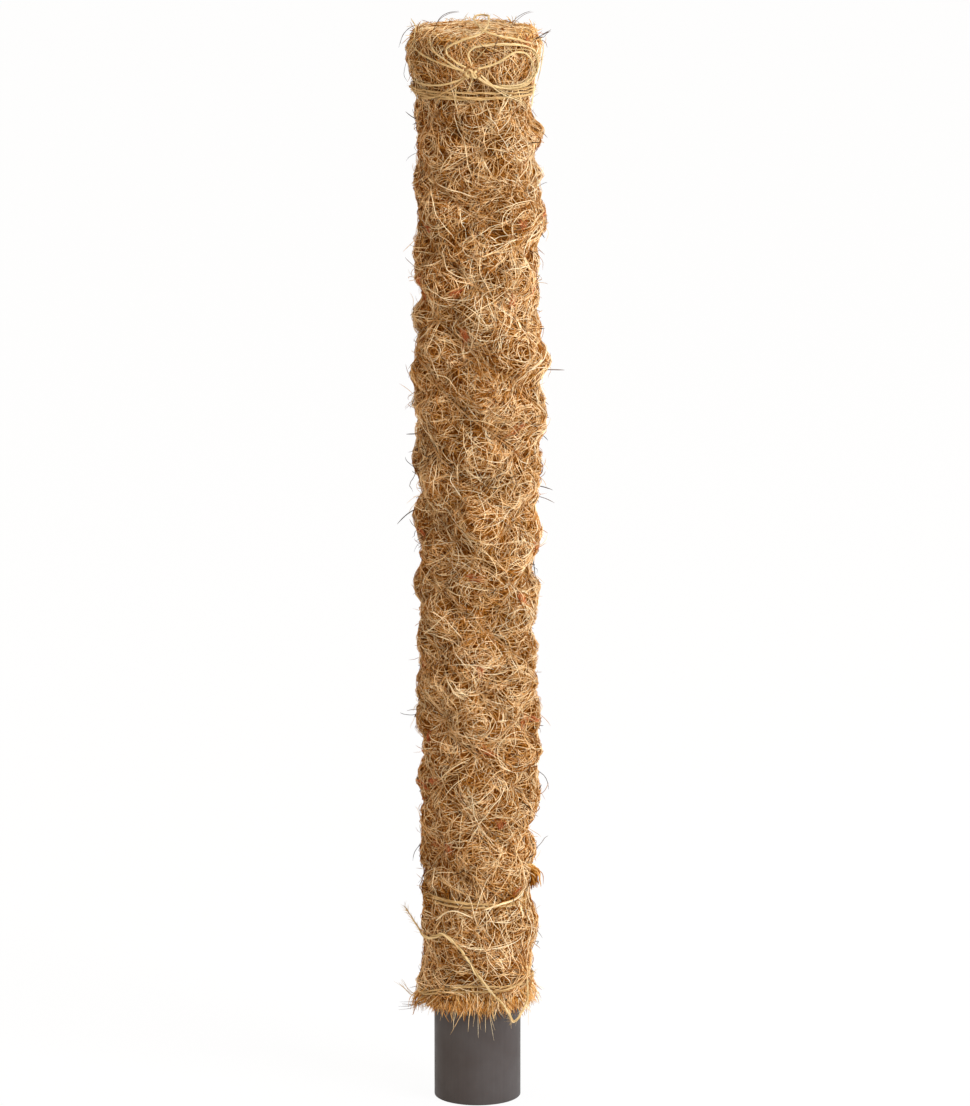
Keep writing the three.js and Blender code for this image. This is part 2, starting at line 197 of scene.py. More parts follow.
# Fibres
FIBRE_SIDES = 3
FIBRE_POINTS = 12
SWAY = (0.02, 0.12)  # how much a fibre bends to and fro, in radians for each millimetre
GENTLE_SWAY = (0.01, 0.07)
SWING = (7, 20)  # length of one such bend
ROLL = (0.05, 0.45)  # how far a fibre rises and dips on its way
ROLL_LENGTH = (6, 15)
LOCK_SPREAD = 1.3  # fibres of one lock start this near each other and run this nearly alike
LOCK_TURN = 0.16
LOCK_BEND = 0.012
HEM_CLEAR = 7  # no fibre of the coats lies nearer the lower edge
TIP = 0.35  # a fibre's width at its ends, of its full width
STANDING = 1  # the width at its root of a fibre that stands on what it grows from
TAPER_STOPS = (0, 0.15, 0.75, 1)  # where along a fibre its width changes
MOST_FACES = 190_000  # for one piece
UV_MARGIN = 0.1  # of a fibre's cell in the map
UV_NAME = "OFBake"
UPRIGHT = 0.8  # a direction with more rise than this counts as upright
TINY = 1e-9


def make_camera():
    data = bpy.data.cameras.new("camera")
    data.sensor_width = SENSOR
    data.lens = FOCAL_LENGTH / IMAGE_HEIGHT * SENSOR
    data.clip_end = CLIP_END
    camera = bpy.data.objects.new("camera", data)
    bpy.context.scene.collection.objects.link(camera)
    pitch = math.radians(CAMERA_PITCH)
    forward = Vector((0, math.cos(pitch), -math.sin(pitch)))
    up = Vector((0, math.sin(pitch), math.cos(pitch)))
    place = Vector((CAMERA_RIGHT, 0, AIM_HEIGHT)) - forward * CAMERA_DISTANCE + up * CAMERA_UP
    camera.location = place * MM
    camera.rotation_euler = Euler((math.pi / 2 - pitch, 0, 0))
    bpy.context.scene.camera = camera


make_camera()


def around(angle, radius, height):
    angle, radius, height = np.broadcast_arrays(angle, radius, height)
    return np.stack([radius * np.sin(angle), -radius * np.cos(angle), height], axis=-1)


def unit(vectors):
    return vectors / np.maximum(np.linalg.norm(vectors, axis=-1, keepdims=True), TINY)


def evenly(points, step):
    """The same line as points about a step apart."""
    along = np.concatenate([[0], np.cumsum(np.linalg.norm(np.diff(points, axis=0), axis=1))])
    wanted = np.linspace(0, along[-1], max(2, round(along[-1] / step) + 1))
    return np.stack([np.interp(wanted, along, points[:, axis]) for axis in range(3)], axis=-1)


def line_length(points):
    return float(np.linalg.norm(np.diff(points, axis=0), axis=1).sum())


def smooth_curve(points, step):
    """A centripetal Catmull-Rom curve through the points, as the solids of the free twine have."""
    points = np.asarray(points, float)
    wide = np.vstack([2 * points[0] - points[1], points, 2 * points[-1] - points[-2]])
    knots = np.sqrt(np.linalg.norm(np.diff(wide, axis=0), axis=1))[:, None]
    slope = np.diff(wide, axis=0) / knots
    tangent = slope[:-1] - (wide[2:] - wide[:-2]) / (knots[:-1] + knots[1:]) + slope[1:]
    share = np.linspace(0, 1, CURVE_STEPS, endpoint=False)[:, None]
    pieces = []
    for i in range(len(points) - 1):
        start, end = points[i], points[i + 1]
        leave, arrive = tangent[i] * knots[i + 1], tangent[i + 1] * knots[i + 1]
        pieces.append(
            start + leave * share
            + (3 * (end - start) - 2 * leave - arrive) * share**2
            + (2 * (start - end) + leave + arrive) * share**3
        )
    return evenly(np.vstack([*pieces, points[-1:]]), step)


def frames(paths):
    """Two directions across each path at each of its points, which turn as little as they can along it."""
    tangent = unit(np.gradient(paths, axis=1))
    up = np.empty_like(paths)
    first = np.where(np.abs(tangent[:, 0, 2:]) < UPRIGHT, [[0, 0, 1.0]], [[1.0, 0, 0]])
    for k in range(paths.shape[1]):
        before = first if k == 0 else up[:, k - 1]
        along = (before * tangent[:, k]).sum(-1, keepdims=True)
        up[:, k] = unit(before - along * tangent[:, k])
    return up, np.cross(tangent, up)


def finish_mesh(name, places, corners, sizes, uv=None):
    mesh = bpy.data.meshes.new(name)
    mesh.vertices.add(len(places))
    mesh.vertices.foreach_set("co", (places * MM).astype(np.float32).ravel())
    mesh.loops.add(len(corners))
    mesh.loops.foreach_set("vertex_index", corners.astype(np.int32))
    mesh.polygons.add(len(sizes))
    starts = np.concatenate([[0], np.cumsum(sizes)[:-1]])
    mesh.polygons.foreach_set("loop_start", starts.astype(np.int32))
    mesh.update(calc_edges=True)
    if uv is not None:
        layer = mesh.uv_layers.new(name=UV_NAME)
        layer.uv.foreach_set("vector", uv.astype(np.float32).ravel())
    mesh.shade_smooth()
    piece = bpy.data.objects.new(name, mesh)
    bpy.context.scene.collection.objects.link(piece)
    return piece


def tube_map(count, steps, sides):
    """A map with a cell of its own for each tube, in the order of the faces that tubes() makes."""
    across = math.ceil(math.sqrt(count))
    cell = np.stack([np.arange(count) % across, np.arange(count) // across], axis=-1)
    side, step = np.arange(sides), np.arange(steps - 1)[:, None]
    u = np.stack([side, side + 1, side + 1, side], -1)[None] / sides + 0 * step[..., None]
    low = step + 0 * side
    v = np.stack([low, low, low + 1, low + 1], -1) / (steps - 1)
    body = np.stack([u, v], -1).reshape(-1, 2)
    cap = np.stack([side / sides, 0 * side], -1)
    inside = np.vstack([body, cap, cap + [0, 1]])
    inside = UV_MARGIN + (1 - 2 * UV_MARGIN) * inside
    return ((cell[:, None] + inside[None]) / across).reshape(-1, 2)


def tubes(name, paths, radius, sides):
    """One mesh of closed tubes along paths, an array of tubes x points x 3, with a radius at each point."""
    count, steps = radius.shape
    up, side_way = frames(paths)
    turn = np.arange(sides) / sides * FULL_TURN
    ring = np.cos(turn)[:, None] * up[:, :, None] + np.sin(turn)[:, None] * side_way[:, :, None]
    places = (paths[:, :, None] + radius[:, :, None, None] * ring).reshape(-1, 3)
    side = np.arange(sides)
    after = (side + 1) % sides
    base = np.arange(steps - 1)[:, None] * sides
    body = np.stack([base + side, base + after, base + sides + after, base + sides + side], -1).ravel()
    last = (steps - 1) * sides
    one = np.concatenate([body, side[::-1], last + side])
    corners = (np.arange(count)[:, None] * steps * sides + one).ravel()
    sizes = np.tile([4] * ((steps - 1) * sides) + [sides] * 2, count)
    return finish_mesh(name, places, corners, sizes, tube_map(count, steps, sides))


def dress(piece, material):
    piece.data.materials.append(material)
    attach(piece, BODY)
    return piece


# Materials: sizes of noise are in millimetres, a pair is a range, and a bump is a strength and a depth

NOISE_DETAIL = 3
NOISE_RANGE = (0.3, 0.7)  # where most of the noise's values lie
PATCH_SIZE = 22
PATCHES = (0.82, 1.14)
STREAK_SIZE = 1.6
STREAKS = (0.86, 1.1)
SHEEN_SIZE = 2.5
SHEEN = 0.08
GRAIN_SIZE = 0.5
GRAIN_BUMP = (0.4, 0.1)

FELT_SHADES = [(0.3, (62, 28, 6)), (0.5, (104, 56, 16)), (0.7, (148, 94, 40))]
FELT_GRAIN = 0.9
FELT_DETAIL = 6
FELT_PATCH_SIZE = 14
FELT_PATCHES = (0.8, 1.15)
FELT_ROUGHNESS = 0.9
FELT_GLOSS = 0.02
FELT_BUMP = (0.9, 0.6)

PIPE_SHADES = ((69, 63, 61), (77, 73, 72))
PIPE_CLOUD_SIZE = 18
PIPE_LINE_WIDTH = 1.5
PIPE_LINE_DETAIL = 4
PIPE_LINE_STRETCH = (1, 1, 0.03)
PIPE_LINES = (0.95, 1.04)
PIPE_RUB_SIZE = 6
PIPE_ROUGHNESS = (0.42, 0.52)
PIPE_GLOSS = 0.08
PIPE_BUMP = (0.12, 0.1)

WHITE = 255
SCREEN_TOE = 0.04045  # the screen's curve is straight up to here, and a power beyond
SCREEN_SLOPE = 12.92
SCREEN_SHIFT = 0.055
SCREEN_POWER = 2.4


def colour(red, green, blue):
    """A colour given as the screen shows it, as linear light."""
    shown = np.array([red, green, blue]) / WHITE
    curved = ((shown + SCREEN_SHIFT) / (1 + SCREEN_SHIFT)) ** SCREEN_POWER
    linear = np.where(shown <= SCREEN_TOE, shown / SCREEN_SLOPE, curved)
    return (*linear.tolist(), 1)


MIX_COLOUR_INPUTS = (0, 6, 7)  # a mix node's sockets for the share and the two colours, and for its result
MIX_COLOUR_OUTPUT = 2


class Nodes:
    """A node tree, with short ways to add to it."""

    def __init__(self, tree):
        self.tree = tree

    def give(self, socket, value):
        """Links a socket to another, or sets it to a constant."""
        if isinstance(value, bpy.types.NodeSocket):
            self.tree.links.new(value, socket)
        else:
            socket.default_value = value

    def node(self, kind, inputs=(), **settings):
        made = self.tree.nodes.new(f"ShaderNode{kind}")
        for key, value in settings.items():
            setattr(made, key, value)
        for key, value in dict(inputs).items():
            self.give(made.inputs[key], value)
        return made

    def blend(self, amount, first, second):
        inputs = dict(zip(MIX_COLOUR_INPUTS, (amount, first, second)))
        return self.node("Mix", inputs, data_type="RGBA").outputs[MIX_COLOUR_OUTPUT]

    def math(self, operation, first, second):
        return self.node("Math", {0: first, 1: second}, operation=operation).outputs["Value"]

    def camera_share(self):
        """1 for what the camera sees straight, in a mirror or through glass, and 0 for other light."""
        ray = self.node("LightPath").outputs
        either = self.math("MAXIMUM", ray["Is Camera Ray"], ray["Is Glossy Ray"])
        return self.math("MAXIMUM", either, ray["Is Transmission Ray"])


class Shader(Nodes):
    """A material's node tree."""

    def __init__(self, name, roughness, gloss):
        self.material = bpy.data.materials.new(name)
        self.material.use_nodes = True
        super().__init__(self.material.node_tree)
        self.surface = self.tree.nodes["Principled BSDF"]
        self.set("Roughness", roughness)
        self.set("Specular IOR Level", gloss)
        self.place = self.node("TexCoord").outputs["Object"]

    def set(self, socket, value):
        self.give(self.surface.inputs[socket], value)

    def noise(self, size, detail=NOISE_DETAIL, stretch=(1, 1, 1)):
        """Noise whose features are about that many millimetres wide."""
        place = self.node("Mapping", {"Vector": self.place, "Scale": stretch}).outputs["Vector"]
        inputs = {"Vector": place, "Scale": 1 / (size * MM), "Detail": detail}
        return self.node("TexNoise", inputs).outputs["Fac"]

    def spread(self, value, low, high):
        """Noise spread over a range of values."""
        ends = dict(zip(("From Min", "From Max", "To Min", "To Max"), (*NOISE_RANGE, low, high)))
        return self.node("MapRange", {"Value": value, **ends}).outputs["Result"]

    def ramp(self, value, stops):
        made = self.node("ValToRGB", {"Fac": value})
        band = made.color_ramp
        while len(band.elements) < len(stops):
            band.elements.new(0.5)
        for element, (place, shade) in zip(band.elements, stops):
            element.position = place
            element.color = shade
        return made.outputs["Color"]

    def dim(self, shade, amount):
        """The colour times a number."""
        return self.node("VectorMath", {0: shade, "Scale": amount}, operation="SCALE").outputs["Vector"]

    def bump(self, height, strength, depth):
        inputs = {"Height": height, "Strength": strength, "Distance": depth * MM}
        self.set("Normal", self.node("Bump", inputs).outputs["Normal"])

    def each_strand(self):
        return self.node("NewGeometry").outputs["Random Per Island"]


def strands(name, roughness, gloss, *rows):
    """Fibre or twine: each strand has a shade of its own between the first row and the last, and each shade
    changes along the strand."""
    shader = Shader(name, roughness, gloss)
    stops = [(i / (len(rows) - 1), colour(*row)) for i, row in enumerate(rows)]
    shade = shader.ramp(shader.each_strand(), stops)
    patches = shader.spread(shader.noise(PATCH_SIZE), *PATCHES)
    streaks = shader.spread(shader.noise(STREAK_SIZE), *STREAKS)
    shader.set("Base Color", shader.dim(shader.dim(shade, patches), streaks))
    shader.set("Roughness", shader.spread(shader.noise(SHEEN_SIZE), roughness - SHEEN, roughness + SHEEN))
    shader.bump(shader.noise(GRAIN_SIZE), *GRAIN_BUMP)
    return shader.material


FELT = strands("coir_felt", 0.8, 0.02, (90, 39, 0), (132, 76, 16), (167, 107, 38), (194, 140, 68))
COAT = strands(
    "coir_coat", 0.7, 0.04, (108, 54, 5), (170, 107, 42), (211, 158, 94), (239, 200, 147), (253, 229, 186)
)
PALE = strands("coir_pale", 0.6, 0.2, (208, 158, 97), (236, 198, 142), (250, 222, 174), (253, 236, 199))
RUST = strands("coir_rust", 0.7, 0.05, (134, 72, 16), (196, 130, 54), (226, 170, 94), (246, 208, 140))
HUSK = strands("husk", 0.75, 0.15, (150, 72, 36), (182, 98, 54), (206, 132, 82))
DARK = strands("coir_dark", 0.8, 0.06, (38, 26, 20), (72, 48, 32), (108, 76, 50))
STRAW = strands("twine", 0.55, 0.25, (184, 151, 96), (207, 178, 124), (228, 202, 153))
TIED = strands("twine_tied", 0.6, 0.15, (156, 117, 66), (186, 150, 96), (213, 180, 127))
LASHING = strands("thread", 0.7, 0.2, (170, 122, 70), (196, 150, 96))


def mat_material():
    """The felt under the loose fibres."""
    shader = Shader("coir_mat", FELT_ROUGHNESS, FELT_GLOSS)
    grain = shader.noise(FELT_GRAIN, FELT_DETAIL)
    shade = shader.ramp(grain, [(place, colour(*row)) for place, row in FELT_SHADES])
    shader.set("Base Color", shader.dim(shade, shader.spread(shader.noise(FELT_PATCH_SIZE), *FELT_PATCHES)))
    shader.bump(grain, *FELT_BUMP)
    return shader.material


def pipe_material():
    """Moulded plastic with faint draw lines and rub marks."""
    shader = Shader("pipe_plastic", PIPE_ROUGHNESS[0], PIPE_GLOSS)
    lines = shader.noise(PIPE_LINE_WIDTH, PIPE_LINE_DETAIL, PIPE_LINE_STRETCH)
    clouds = shader.spread(shader.noise(PIPE_CLOUD_SIZE), 0, 1)
    shade = shader.blend(clouds, *(colour(*row) for row in PIPE_SHADES))
    shader.set("Base Color", shader.dim(shade, shader.spread(lines, *PIPE_LINES)))
    shader.set("Roughness", shader.spread(shader.noise(PIPE_RUB_SIZE), *PIPE_ROUGHNESS))
    shader.bump(lines, *PIPE_BUMP)
    return shader.material


# The mat's outside


def groove(tie):
    return [(tie.height - tie.half, tie.thickness), (tie.height + tie.half, tie.thickness)]


def outline_rows():
    """Distances from the axis and heights, from the hem up to the middle of the top."""
    rows = [
        (BARE_PIPE, HEM - HEM_ROUND / 2), (BARE_PIPE + HEM_ROUND, HEM),
        *groove(BOTTOM_TIE), (WAIST_HEIGHT, WAIST), *groove(MIDDLE_TIE),
        (LOWEST_THREAD, MAT_AT_LOWEST_THREAD), (HIGHEST_THREAD, MAT_AT_HIGHEST_THREAD),
        *groove(TOP_TIE), (TOP_TIE.height + CROWN_RISE, CROWN),
        (POLE_LENGTH - CROWN_ROUND, CROWN), (POLE_LENGTH, CROWN - CROWN_ROUND / 2),
    ]
    side = [(PIPE_RADIUS + thickness, height) for height, thickness in rows]
    top = [(PIPE_RADIUS, POLE_LENGTH + PAD_CROWN / 4), (PIPE_RADIUS / 2, POLE_LENGTH + PAD_CROWN * 3 / 4)]
    return np.array([*side, *top, (0, POLE_LENGTH + PAD_CROWN)], float)


class Outline:
    """The mat's profile as a line with even steps, rounded at its corners."""

    STEP = 0.5
    ROUNDING = 7  # steps

    def __init__(self):
        rows = outline_rows()
        flat = evenly(np.column_stack([rows, np.zeros(len(rows))]), self.STEP)
        window = np.ones(self.ROUNDING) / self.ROUNDING
        ends = self.ROUNDING // 2
        line = [np.convolve(np.pad(flat[:, k], ends, mode="edge"), window, mode="valid") for k in (0, 1)]
        self.radius, self.height = line
        self.along = np.arange(len(self.radius)) * self.STEP
        run, rise = np.gradient(self.radius), np.gradient(self.height)
        size = np.hypot(run, rise)
        self.out, self.up = rise / size, -run / size

    def at(self, along):
        return [np.interp(along, self.along, line) for line in (self.radius, self.height, self.out, self.up)]

    def along_at(self, height):
        side = self.along[: np.argmax(self.height)]
        return np.interp(height, self.height[: len(side)], side)


BUMP_SEED = 11
OUTLINE = Outline()
bump_rng = np.random.default_rng(BUMP_SEED)


def make_bumps(count, waves, length, size):
    """Waves over the mat: how often each goes round, its phase for each millimetre of height, its start and
    its size."""
    turns = bump_rng.integers(*waves, count)
    climb = bump_rng.normal(0, FULL_TURN / length, count)
    return zip(turns, climb, bump_rng.uniform(0, FULL_TURN, count), [size] * count)


BUMPS = [
    *make_bumps(count=14, waves=(1, 9), length=60, size=0.24),
    *make_bumps(count=12, waves=(6, 24), length=11, size=0.17),
]
PILLOW_ROUND = 0.6  # under 1, the pillows are full and the grooves between them narrow
PILLOW_DEPTH = 1.2  # of the grooves below the solid's
SWELL_WIDE = 2.2  # how much farther a swell reaches round the pole than up and down
SWELLS = [  # at the sides, as the photograph's outline has them: angle, height, rise, reach
    (88, 503, -5, 6), (90, 486, -1.8, 20), (88, 465, -5.8, 6), (88, 460, -2.4, 5), (88, 452, 2.8, 5),
    (88, 441, -4, 6), (88, 428, -3, 6), (88, 415, 4, 8), (88, 401, -4, 5), (88, 371, -3.8, 6),
    (86, 350, 5, 10), (88, 338, -3.4, 5), (88, 323, 5.2, 8), (88, 309, -2.8, 5), (88, 292, 2.4, 7),
    (88, 280, -3.2, 8), (88, 265, 1.8, 6), (88, 250, -5, 6), (88, 234, 1.2, 8), (88, 222, -2.4, 5),
    (88, 200, 2, 8), (88, 166, 4.4, 6), (88, 157, -1.8, 5), (88, 139, 4, 7), (88, 128, -3.8, 6),
    (84, 106, -1.6, 8), (88, 97, -2.6, 8), (88, 82, 2.2, 9), (88, 72, -1.8, 6),
    (-88, 503, -1.6, 6), (-88, 489, 2.2, 9), (-88, 476, 2, 6), (-88, 464, -1.6, 7), (-88, 438, -2.4, 5),
    (-88, 405, -3, 9), (-88, 387, 2, 5), (-88, 378, -4.4, 6), (-88, 354, 1.8, 5), (-88, 334, -2, 3),
    (-88, 327, 3, 5), (-88, 309, -2.2, 6), (-88, 298, 2.4, 5), (-88, 285, -1.6, 6), (-88, 254, -2.2, 7),
    (-88, 211, -2.2, 6), (-88, 196, 2.8, 6), (-88, 187, -3.4, 3), (-88, 164, -2, 6), (-88, 147, -1.4, 8),
    (-88, 133, 2, 5), (-88, 123, -1.8, 4), (-88, 117, -1.2, 12), (-88, 97, -1.6, 9), (-88, 74, -2.4, 10),
    (-88, 60, 2.4, 7),
]


def lumps(angle, height):
    """Unevenness of the mat, about a millimetre."""
    return sum(size * np.sin(turns * angle + climb * height + start) for turns, climb, start, size in BUMPS)


def swells(angle, height):
    """The larger swellings and hollows."""
    total = 0
    for middle, level, rise, reach in SWELLS:
        aside = (1 - np.cos(angle - math.radians(middle))) * 2 * ((PIPE_RADIUS + WAIST) / SWELL_WIDE) ** 2
        total = total + rise * np.exp(-(aside + (height - level) ** 2) / reach**2)
    return total


def quilt(angle, height):
    """Low on the lashing's lines, and full in the middle of each pillow between them."""
    row = (height - LOWEST_THREAD) / (HIGHEST_THREAD - LOWEST_THREAD) * ROWS
    column = angle / FULL_TURN * COLUMNS
    wave = np.abs(np.cos(row / CORNERS * FULL_TURN) - np.cos(column / CORNERS * FULL_TURN)) / 2
    rise = (QUILT_RISE + PILLOW_DEPTH) * wave**PILLOW_ROUND - PILLOW_DEPTH
    inside = np.minimum(height - LOWEST_THREAD, HIGHEST_THREAD - height) / THREAD_MARGIN + 1
    return rise * np.clip(inside, 0, 1)


def on_mat(angle, along, lift):
    radius, height, out, up = OUTLINE.at(along)
    rise = lift + (quilt(angle, height) + lumps(angle, height) + swells(angle, height)) * out
    least = np.where(radius > PIPE_RADIUS, PIPE_RADIUS + SEAT, 0)
    reach = np.maximum(radius + rise * out, least)
    return around(angle, reach, height + rise * up + slant(angle, height))


def mat_radius(height):
    """The mat's distance from the axis under a tie or a knot."""
    top = np.argmax(OUTLINE.height)
    return np.interp(height, OUTLINE.height[:top], OUTLINE.radius[:top])


def closed_rings(name, rings):
    """A closed mesh through rings of points, where the last ring joins the first."""
    count, sides = rings.shape[:2]
    row, side = np.arange(count)[:, None], np.arange(sides)
    after, next_row = (side + 1) % sides, (row + 1) % count
    corners = np.stack(
        [row * sides + side, row * sides + after, next_row * sides + after, next_row * sides + side], -1
    ).ravel()
    return finish_mesh(name, rings.reshape(-1, 3), corners, np.full(count * sides, 4))


MAT_SIDES = 160
MAT_STEP = 1.5
MAT_SINK = 0.9  # the felt lies this far below the fibres
MAT_END = POLE_LENGTH - 1


def add_mat(material):
    last = OUTLINE.along_at(MAT_END)
    along = np.arange(HEM_CLEAR, last, MAT_STEP)
    angle = np.arange(MAT_SIDES) / MAT_SIDES * FULL_TURN
    outside = on_mat(angle[None], along[:, None], -MAT_SINK)
    bore = PIPE_RADIUS + SEAT
    heights = np.array([MAT_END, POLE_LENGTH / 2, BARE_PIPE + HEM_CLEAR])
    inside = around(angle[None], bore, heights[:, None])
    piece = dress(closed_rings("coir_mat_felt", np.concatenate([outside, inside])), material)
    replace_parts(piece, "coir_mat")


PAD_RINGS = 24
PAD_SIDES = 96
PAD_EYE = 0.02  # the innermost ring, as a share of the outermost
PAD_FOOT = 0.95  # the lower edge is rounded a little
PAD_FOOT_RISE = 1
PAD_LUMPS = 9  # millimetres up the mat whose unevenness one millimetre of the pad takes up


def add_pad(material):
    reach = np.linspace(PAD_EYE, 1, PAD_RINGS)[:, None] * (PIPE_RADIUS + CROWN - CROWN_ROUND)
    angle = np.arange(PAD_SIDES) / PAD_SIDES * FULL_TURN
    dome = POLE_LENGTH + PAD_CROWN * (1 - (reach / reach[-1]) ** 2) - MAT_SINK
    dome = dome + lumps(angle, PAD_LUMPS * reach) / 2
    top = around(angle[None], reach, dome)
    low = np.array([PAD_BOTTOM + PAD_FOOT_RISE, PAD_BOTTOM, PAD_BOTTOM])[:, None]
    wide = np.array([1, PAD_FOOT, PAD_EYE])[:, None] * (PIPE_RADIUS - SEAT)
    rings = np.concatenate([top, around(angle[None], wide, low)])
    piece = dress(closed_rings("coir_top_felt", rings), material)
    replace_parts(piece, "coir_top_pad")


# Fibres


def between(rng, limits, count):
    return rng.uniform(*limits, count)


def each_between(rng, limits, count):
    """Random numbers within limits, one row for each fibre."""
    return between(rng, limits, count)[:, None]


def each_normal(rng, size, count):
    """Random numbers about zero, one row for each fibre."""
    return rng.normal(0, size, count)[:, None]


def any_angle(rng, count):
    return rng.uniform(0, FULL_TURN, count)


def up_or_down(rng, fan, count):
    """Headings up or down the pole, within a fan."""
    return rng.choice([-1, 1], count) * math.pi / 2 + rng.normal(0, fan, count)


def walk(rng, angle, along, heading, length, bend, sway=SWAY, points=FIBRE_POINTS):
    """Lines that wander over the mat: their angles and their distances along the outline, at each point."""
    count, step = len(angle), length / (points - 1)
    sway = between(rng, sway, count)
    swing, start = FULL_TURN / between(rng, SWING, count), any_angle(rng, count)
    angles, alongs = [], []
    for k in range(points):
        angles.append(angle)
        alongs.append(along)
        radius = np.maximum(OUTLINE.at(along)[0], PIPE_RADIUS)
        angle = angle + np.cos(heading) * step / radius
        along = along + np.sin(heading) * step
        heading = heading + (bend + sway * np.sin(swing * k * step + start)) * step
    return np.stack(angles, 1), np.stack(alongs, 1)


def rolling(rng, length, points):
    """How far each fibre rises and dips on its way."""
    count = len(length)
    along = length[:, None] * np.linspace(0, 1, points)
    start = any_angle(rng, count)[:, None]
    wave = np.sin(FULL_TURN * along / each_between(rng, ROLL_LENGTH, count) + start)
    return each_between(rng, ROLL, count) * wave


def settle(paths):
    """Takes the sharpest bends out, so that fibres bridge the grooves of the mat."""
    inner = (paths[:, :-2] + 2 * paths[:, 1:-1] + paths[:, 2:]) / 4
    return np.concatenate([paths[:, :1], inner, paths[:, -1:]], axis=1)


def off_hem(alongs):
    """Which fibres keep clear of the lower edge."""
    return alongs.min(axis=1) > HEM_CLEAR


def taper(rng, width, paths, root=TIP):
    """The radius along each path: full in the middle, and narrow at its ends."""
    count, points = paths.shape[:2]
    shape = np.interp(np.linspace(0, 1, points), TAPER_STOPS, [root, 1, 1, TIP])
    return each_between(rng, width, count) / 2 * shape


def add_fibres(name, rng, paths, width, material, root=TIP, keep=slice(None)):
    """The fibres to keep, as pieces of no more faces than a piece may have."""
    radius, paths = taper(rng, width, paths, root)[keep], paths[keep]
    each = 2 * (paths.shape[1] - 1) * FIBRE_SIDES + 2
    share = math.ceil(len(paths) * each / MOST_FACES)
    for i, (some, wide) in enumerate(zip(np.array_split(paths, share), np.array_split(radius, share))):
        label = name if share == 1 else f"{name}_{i + 1}"
        dress(tubes(label, some, wide, FIBRE_SIDES), material)


